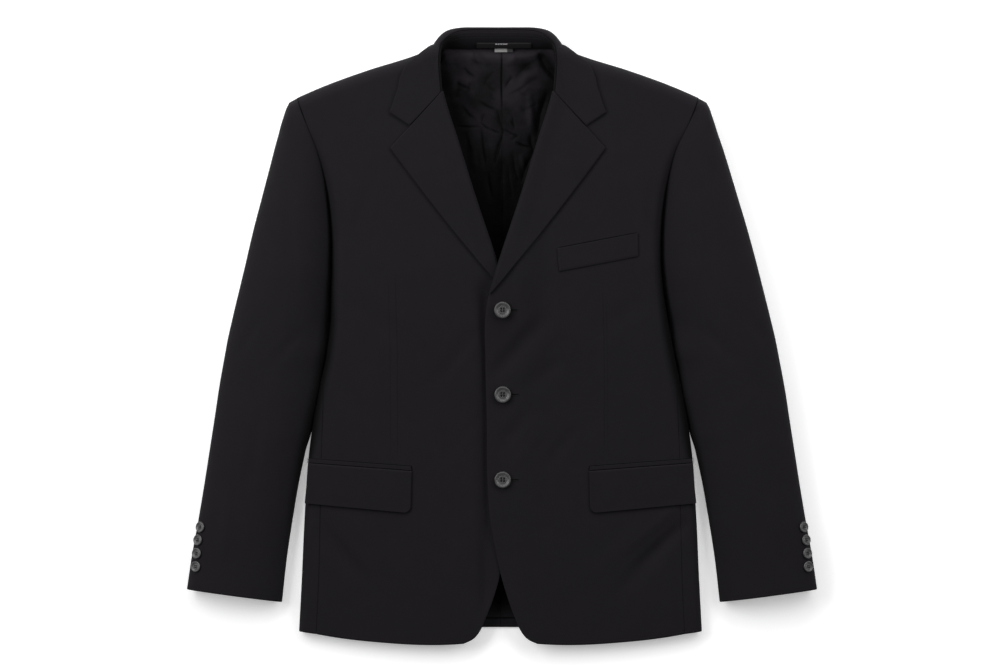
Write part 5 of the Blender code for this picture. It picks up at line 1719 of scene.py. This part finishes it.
def on_front(side, corners, count=40):
    """A straight path over a front's outer face between plan places, and its normals."""
    corners = np.array(corners, dtype=float)
    t = np.linspace(0, len(corners) - 1, count)
    out, up = (np.interp(t, np.arange(len(corners)), values) for values in corners.T)
    path = place(side, out, up, front_face(side, out, up))
    return path, np.tile((0.0, 0.0, 1.0), (count, 1))


def seam_line(name, side, corners, radius):
    """A cord of painted shadow along a closed seam over a front."""
    path, _ = on_front(side, corners, 24 * (len(corners) - 1) + 1)
    cord(name, path, radius)


def build_armhole_seam(side):
    """Painted shadow in the sunk seam round an armhole, from the underarm up to the shoulder."""
    rows = sleeve_rows(side)
    sewn = rows["inner"][:, 0] > UNDERARM + 1
    level, z = (rows[name][sewn, 0][::-1] for name in ("inner", "inner_z"))
    path = place(side, body("out", level), level, z - ARMHOLE_SUNK)
    cord(f"armhole_{SIDE_NAMES[side]}_seam", path, SEAM_CORDS["armhole"])


def build_pocket_seams():
    """Painted shadow in the closed seams round welt, jettings and flaps, and the welt's mouth."""
    seam_line("welt_seam_shadow", LEFT, (WELT[3], WELT[0], WELT[1], WELT[2]), SEAM_CORDS["welt"])
    mouth = [(out, up + MOUTH_RISE) for out, up in (WELT[2], WELT[3])]
    seam_line("welt_mouth_shadow", LEFT, mouth, SEAM_CORDS["mouth"])
    for side in (RIGHT, LEFT):
        seam_line(f"jet_{SIDE_NAMES[side]}_seam", side, JET[:0:-1], SEAM_CORDS["jet"])
        seam_line(f"flap_{SIDE_NAMES[side]}_seam", side, JET[:2], SEAM_CORDS["flap"])


def build_tacks():
    """Bar tacks at the ends of the welt and of the hip pockets."""
    (a, b, c, d) = (np.array(corner) for corner in WELT)
    raised = (0, 0, (2 * SEAM + WELT_CLOTH - 0.2) * MM)
    for end, low, high, inset in (("outer", a, d, b - a), ("inner", b, c, a - b)):
        inward = inset / np.hypot(*inset) * TACK_INSET
        rest = (high - low) * TACK_SHARE
        path, normal = on_front(LEFT, (low + inward + rest, high + inward - rest))
        stitches(f"welt_{end}_tack", path + raised, normal, WELT_TACK, sewing_thread())
    for side in (RIGHT, LEFT):
        for end, (x, low), sign in (("outer", JET[0], 1), ("inner", JET[1], -1)):
            x = x + sign * POCKET_TACK_PAST
            path, normal = on_front(side, [(x, low + more) for more in POCKET_TACK_LEVELS])
            stitches(f"pocket_{SIDE_NAMES[side]}_{end}_tack", path, normal, POCKET_TACK,
                     sewing_thread())


def build_hanger_loop():
    """Hanger loop on the stand, and the two rows of pale thread that hold it."""
    x, up, z = stand_grid(np.linspace(*LOOP_SHARES, 10))
    middle = len(x) // 2
    near = slice(middle - LOOP_REACH, middle + LOOP_REACH + 1)
    face = place(1, x[near] * LOOP_WIDEN + LOOP_SHIFT, up[near], z[near])
    tape = once("loop tape", ribbon_material, "loop tape", settings().tape_colour, 1.0)
    cloth("hanger_loop", face, LOOP, (0, -0.5, 1), tape, LOOP_FACE)
    normals, _ = grid_normals(face, (0, -0.5, 1))
    sewn = slice(LOOP_REACH - 5, LOOP_REACH + 3)
    for number, column in enumerate((7, 8), start=1):
        path = face[sewn, column] + normals[sewn, column] * (LOOP_FACE + 0.05) * MM
        stitches(f"loop_thread_{number}", path, normals[sewn, column], LOOP_STITCH,
                 thread("pale thread", (0.35, 0.34, 0.36)))


def build_label():
    """The bare label at the back neck: it slopes down from the stand and bows in its middle."""
    rows = np.linspace(*LABEL_UP, 14)[:, None]
    columns = np.linspace(*LABEL_X, 24)
    high = LABEL_RISE - LABEL_SLOPE * (LABEL_UP[1] - rows)
    bow = LABEL_BOW * np.sin(np.pi * (columns - LABEL_X[0]) / (LABEL_X[1] - LABEL_X[0]))
    ribbon = once("label ribbon", ribbon_material, "label ribbon", settings().label_colour,
                  LABEL_SHADED_FROM)
    cloth("neck_label", place(1, columns, rows, high + bow), LABEL, (0, 0, 1), ribbon)


def build_lining_seams():
    """Painted shadow in the closed seams along the foot of the stand and the hem of the lining."""
    rows = collar_rows()
    near = np.abs(rows["station"][:, 0]) < NECK_SEAM_END
    foot = place(1, *(rows[name][near, 0] for name in ("foot_out", "foot_up", "foot_z")))
    cord("neck_seam_shadow", foot + (0.0, -0.0003, 0.0008), SEAM_CORDS["neck"])
    out = np.linspace(-HEM_SEAM_HALF, HEM_SEAM_HALF, 61)
    hem = place(1, out, LINING_HEM - 0.4, CLOTH + SEAM)
    cord("lining_hem_seam_shadow", hem, SEAM_CORDS["hem"])


def build_stand_stitching():
    """The rows of stitches that quilt the stand."""
    steps = 60
    stand = place(1, *stand_grid(np.linspace(0, 1, steps + 1)))
    normals, _ = grid_normals(stand, (0, -0.5, 1))
    middle = len(stand) // 2
    wide = slice(middle - STITCHED_ROWS, middle + STITCHED_ROWS + 1)
    for number, share in enumerate(STAND_STITCH_SHARES, start=1):
        column = int(round(share * steps))
        normal = normals[wide, column]
        path = stand[wide, column] + normal * (FOLDED / 2 + 0.02) * MM
        stitches(f"stand_stitching_{number}", path, normal, STAND_STITCH, sewing_thread())


# ---- stage

def build_floor():
    """Pale floor that glows a little, like a light table."""
    corners = np.array([(-1, -1), (1, -1), (1, 1), (-1, 1)]) * FLOOR_HALF
    points = np.column_stack([corners, np.full(4, FLOOR_LEVEL)])
    mesh = quad_mesh("floor", points, np.array([[0, 1, 2, 3]]), corners)
    mesh.materials.append(Recipe("floor paper").finish(
        Base_Color=tuple(settings().floor_colour), Roughness=0.9, Specular_IOR_Level=0.1,
        Emission_Color=(1.0, 1.0, 1.0), Emission_Strength=GLOW))
    floor = bpy.data.objects.new("floor", mesh)
    bpy.context.scene.collection.objects.link(floor)


def build_stage():
    """Pale floor, soft lights from above and both sides, and the camera straight overhead."""
    scene = bpy.context.scene
    scene.view_settings.view_transform = "Standard"
    build_floor()
    world = bpy.data.worlds.new("soft room")
    world.use_nodes = True
    scene.world = world
    sky = world.node_tree.nodes["Background"]
    sky.inputs["Color"].default_value = (1.0, 1.0, 1.0, 1.0)
    sky.inputs["Strength"].default_value = SKY * settings().light
    for name, spot, size, power in LIGHTS:
        lamp = bpy.data.lights.new(name, "AREA")
        lamp.shape = "RECTANGLE"
        lamp.size, lamp.size_y = size
        lamp.energy = power * settings().light
        thing = bpy.data.objects.new(name, lamp)
        thing.location = spot
        thing.rotation_euler = (Vector() - Vector(spot)).to_track_quat("-Z", "Y").to_euler()
        scene.collection.objects.link(thing)
    lens = bpy.data.cameras.new("overhead")
    lens.sensor_width = SENSOR
    lens.lens = SENSOR * CAMERA_HEIGHT / FRAME_WIDTH
    lens.clip_end = FAR
    camera = bpy.data.objects.new("overhead", lens)
    camera.location = (CAMERA_X, CAMERA_Y, CAMERA_HEIGHT)
    scene.collection.objects.link(camera)
    scene.camera = camera


# ---- add-on

def both(*builders):
    """Run each builder for the right side and the left one."""
    for builder in builders:
        for side in (RIGHT, LEFT):
            builder(side)


class JACKET_OT_fronts(bpy.types.Operator):
    """Build the two front panels"""
    bl_idname = "jacket.fronts"
    bl_label = "Fronts"

    def execute(self, context):
        both(build_front)
        return {"FINISHED"}


class JACKET_OT_sides(bpy.types.Operator):
    """Build the two side panels"""
    bl_idname = "jacket.sides"
    bl_label = "Side panels"

    def execute(self, context):
        both(build_side)
        return {"FINISHED"}


class JACKET_OT_backs(bpy.types.Operator):
    """Build the two back panels"""
    bl_idname = "jacket.backs"
    bl_label = "Back panels"

    def execute(self, context):
        both(build_back)
        return {"FINISHED"}


class JACKET_OT_lining(bpy.types.Operator):
    """Build the back lining"""
    bl_idname = "jacket.lining"
    bl_label = "Lining"

    def execute(self, context):
        both(build_lining)
        return {"FINISHED"}


class JACKET_OT_sleeves(bpy.types.Operator):
    """Build the topsleeves and undersleeves"""
    bl_idname = "jacket.sleeves"
    bl_label = "Sleeves"

    def execute(self, context):
        both(build_sleeve, build_armhole_seam)
        return {"FINISHED"}


class JACKET_OT_lapels(bpy.types.Operator):
    """Build the two lapels"""
    bl_idname = "jacket.lapels"
    bl_label = "Lapels"

    def execute(self, context):
        both(build_lapel)
        return {"FINISHED"}


class JACKET_OT_collar(bpy.types.Operator):
    """Build the stand and the fall of the collar"""
    bl_idname = "jacket.collar"
    bl_label = "Collar"

    def execute(self, context):
        build_collar()
        return {"FINISHED"}


class JACKET_OT_pockets(bpy.types.Operator):
    """Build the flaps, jettings and breast welt with their tacks"""
    bl_idname = "jacket.pockets"
    bl_label = "Pockets"

    def execute(self, context):
        both(build_pockets)
        build_welt()
        build_pocket_seams()
        build_tacks()
        return {"FINISHED"}


class JACKET_OT_buttonholes(bpy.types.Operator):
    """Build the buttonholes of the left front"""
    bl_idname = "jacket.buttonholes"
    bl_label = "Buttonholes"

    def execute(self, context):
        build_buttonholes()
        return {"FINISHED"}


class JACKET_OT_buttons(bpy.types.Operator):
    """Build the front buttons and the cuff buttons with their thread"""
    bl_idname = "jacket.buttons"
    bl_label = "Buttons"

    def execute(self, context):
        build_front_buttons()
        both(build_cuff_buttons)
        return {"FINISHED"}


class JACKET_OT_neck(bpy.types.Operator):
    """Build the hanger loop, the label and the stitching of the stand"""
    bl_idname = "jacket.neck"
    bl_label = "Neck trim"

    def execute(self, context):
        build_hanger_loop()
        build_label()
        build_lining_seams()
        build_stand_stitching()
        return {"FINISHED"}


class JACKET_OT_stage(bpy.types.Operator):
    """Build the floor, the lights and the camera"""
    bl_idname = "jacket.stage"
    bl_label = "Stage"

    def execute(self, context):
        build_stage()
        return {"FINISHED"}


OPERATORS = (JACKET_OT_fronts, JACKET_OT_sides, JACKET_OT_backs, JACKET_OT_lining,
             JACKET_OT_sleeves, JACKET_OT_lapels, JACKET_OT_collar, JACKET_OT_pockets,
             JACKET_OT_buttonholes, JACKET_OT_buttons, JACKET_OT_neck, JACKET_OT_stage)


class JACKET_PT_panel(bpy.types.Panel):
    """The jacket's settings and its pieces"""
    bl_idname = "JACKET_PT_panel"
    bl_label = "Suit jacket"
    bl_space_type = "VIEW_3D"
    bl_region_type = "UI"
    bl_category = "Jacket"

    def draw(self, context):
        for name in JacketSettings.__annotations__:
            self.layout.prop(context.scene.jacket, name)
        for operator in OPERATORS:
            self.layout.operator(operator.bl_idname)


CLASSES = (JacketSettings, *OPERATORS, JACKET_PT_panel)


def register():
    """Register the classes and give the scene its settings."""
    for thing in CLASSES:
        bpy.utils.register_class(thing)
    bpy.types.Scene.jacket = bpy.props.PointerProperty(type=JacketSettings)


def unregister():
    """Take the settings and the classes away again."""
    del bpy.types.Scene.jacket
    for thing in reversed(CLASSES):
        bpy.utils.unregister_class(thing)


def main():
    """Register the classes and build everything in order."""
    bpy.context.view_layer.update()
    register()
    for operator in OPERATORS:
        family, action = operator.bl_idname.split(".")
        getattr(getattr(bpy.ops, family), action)()


if __name__ == "__main__":
    main()
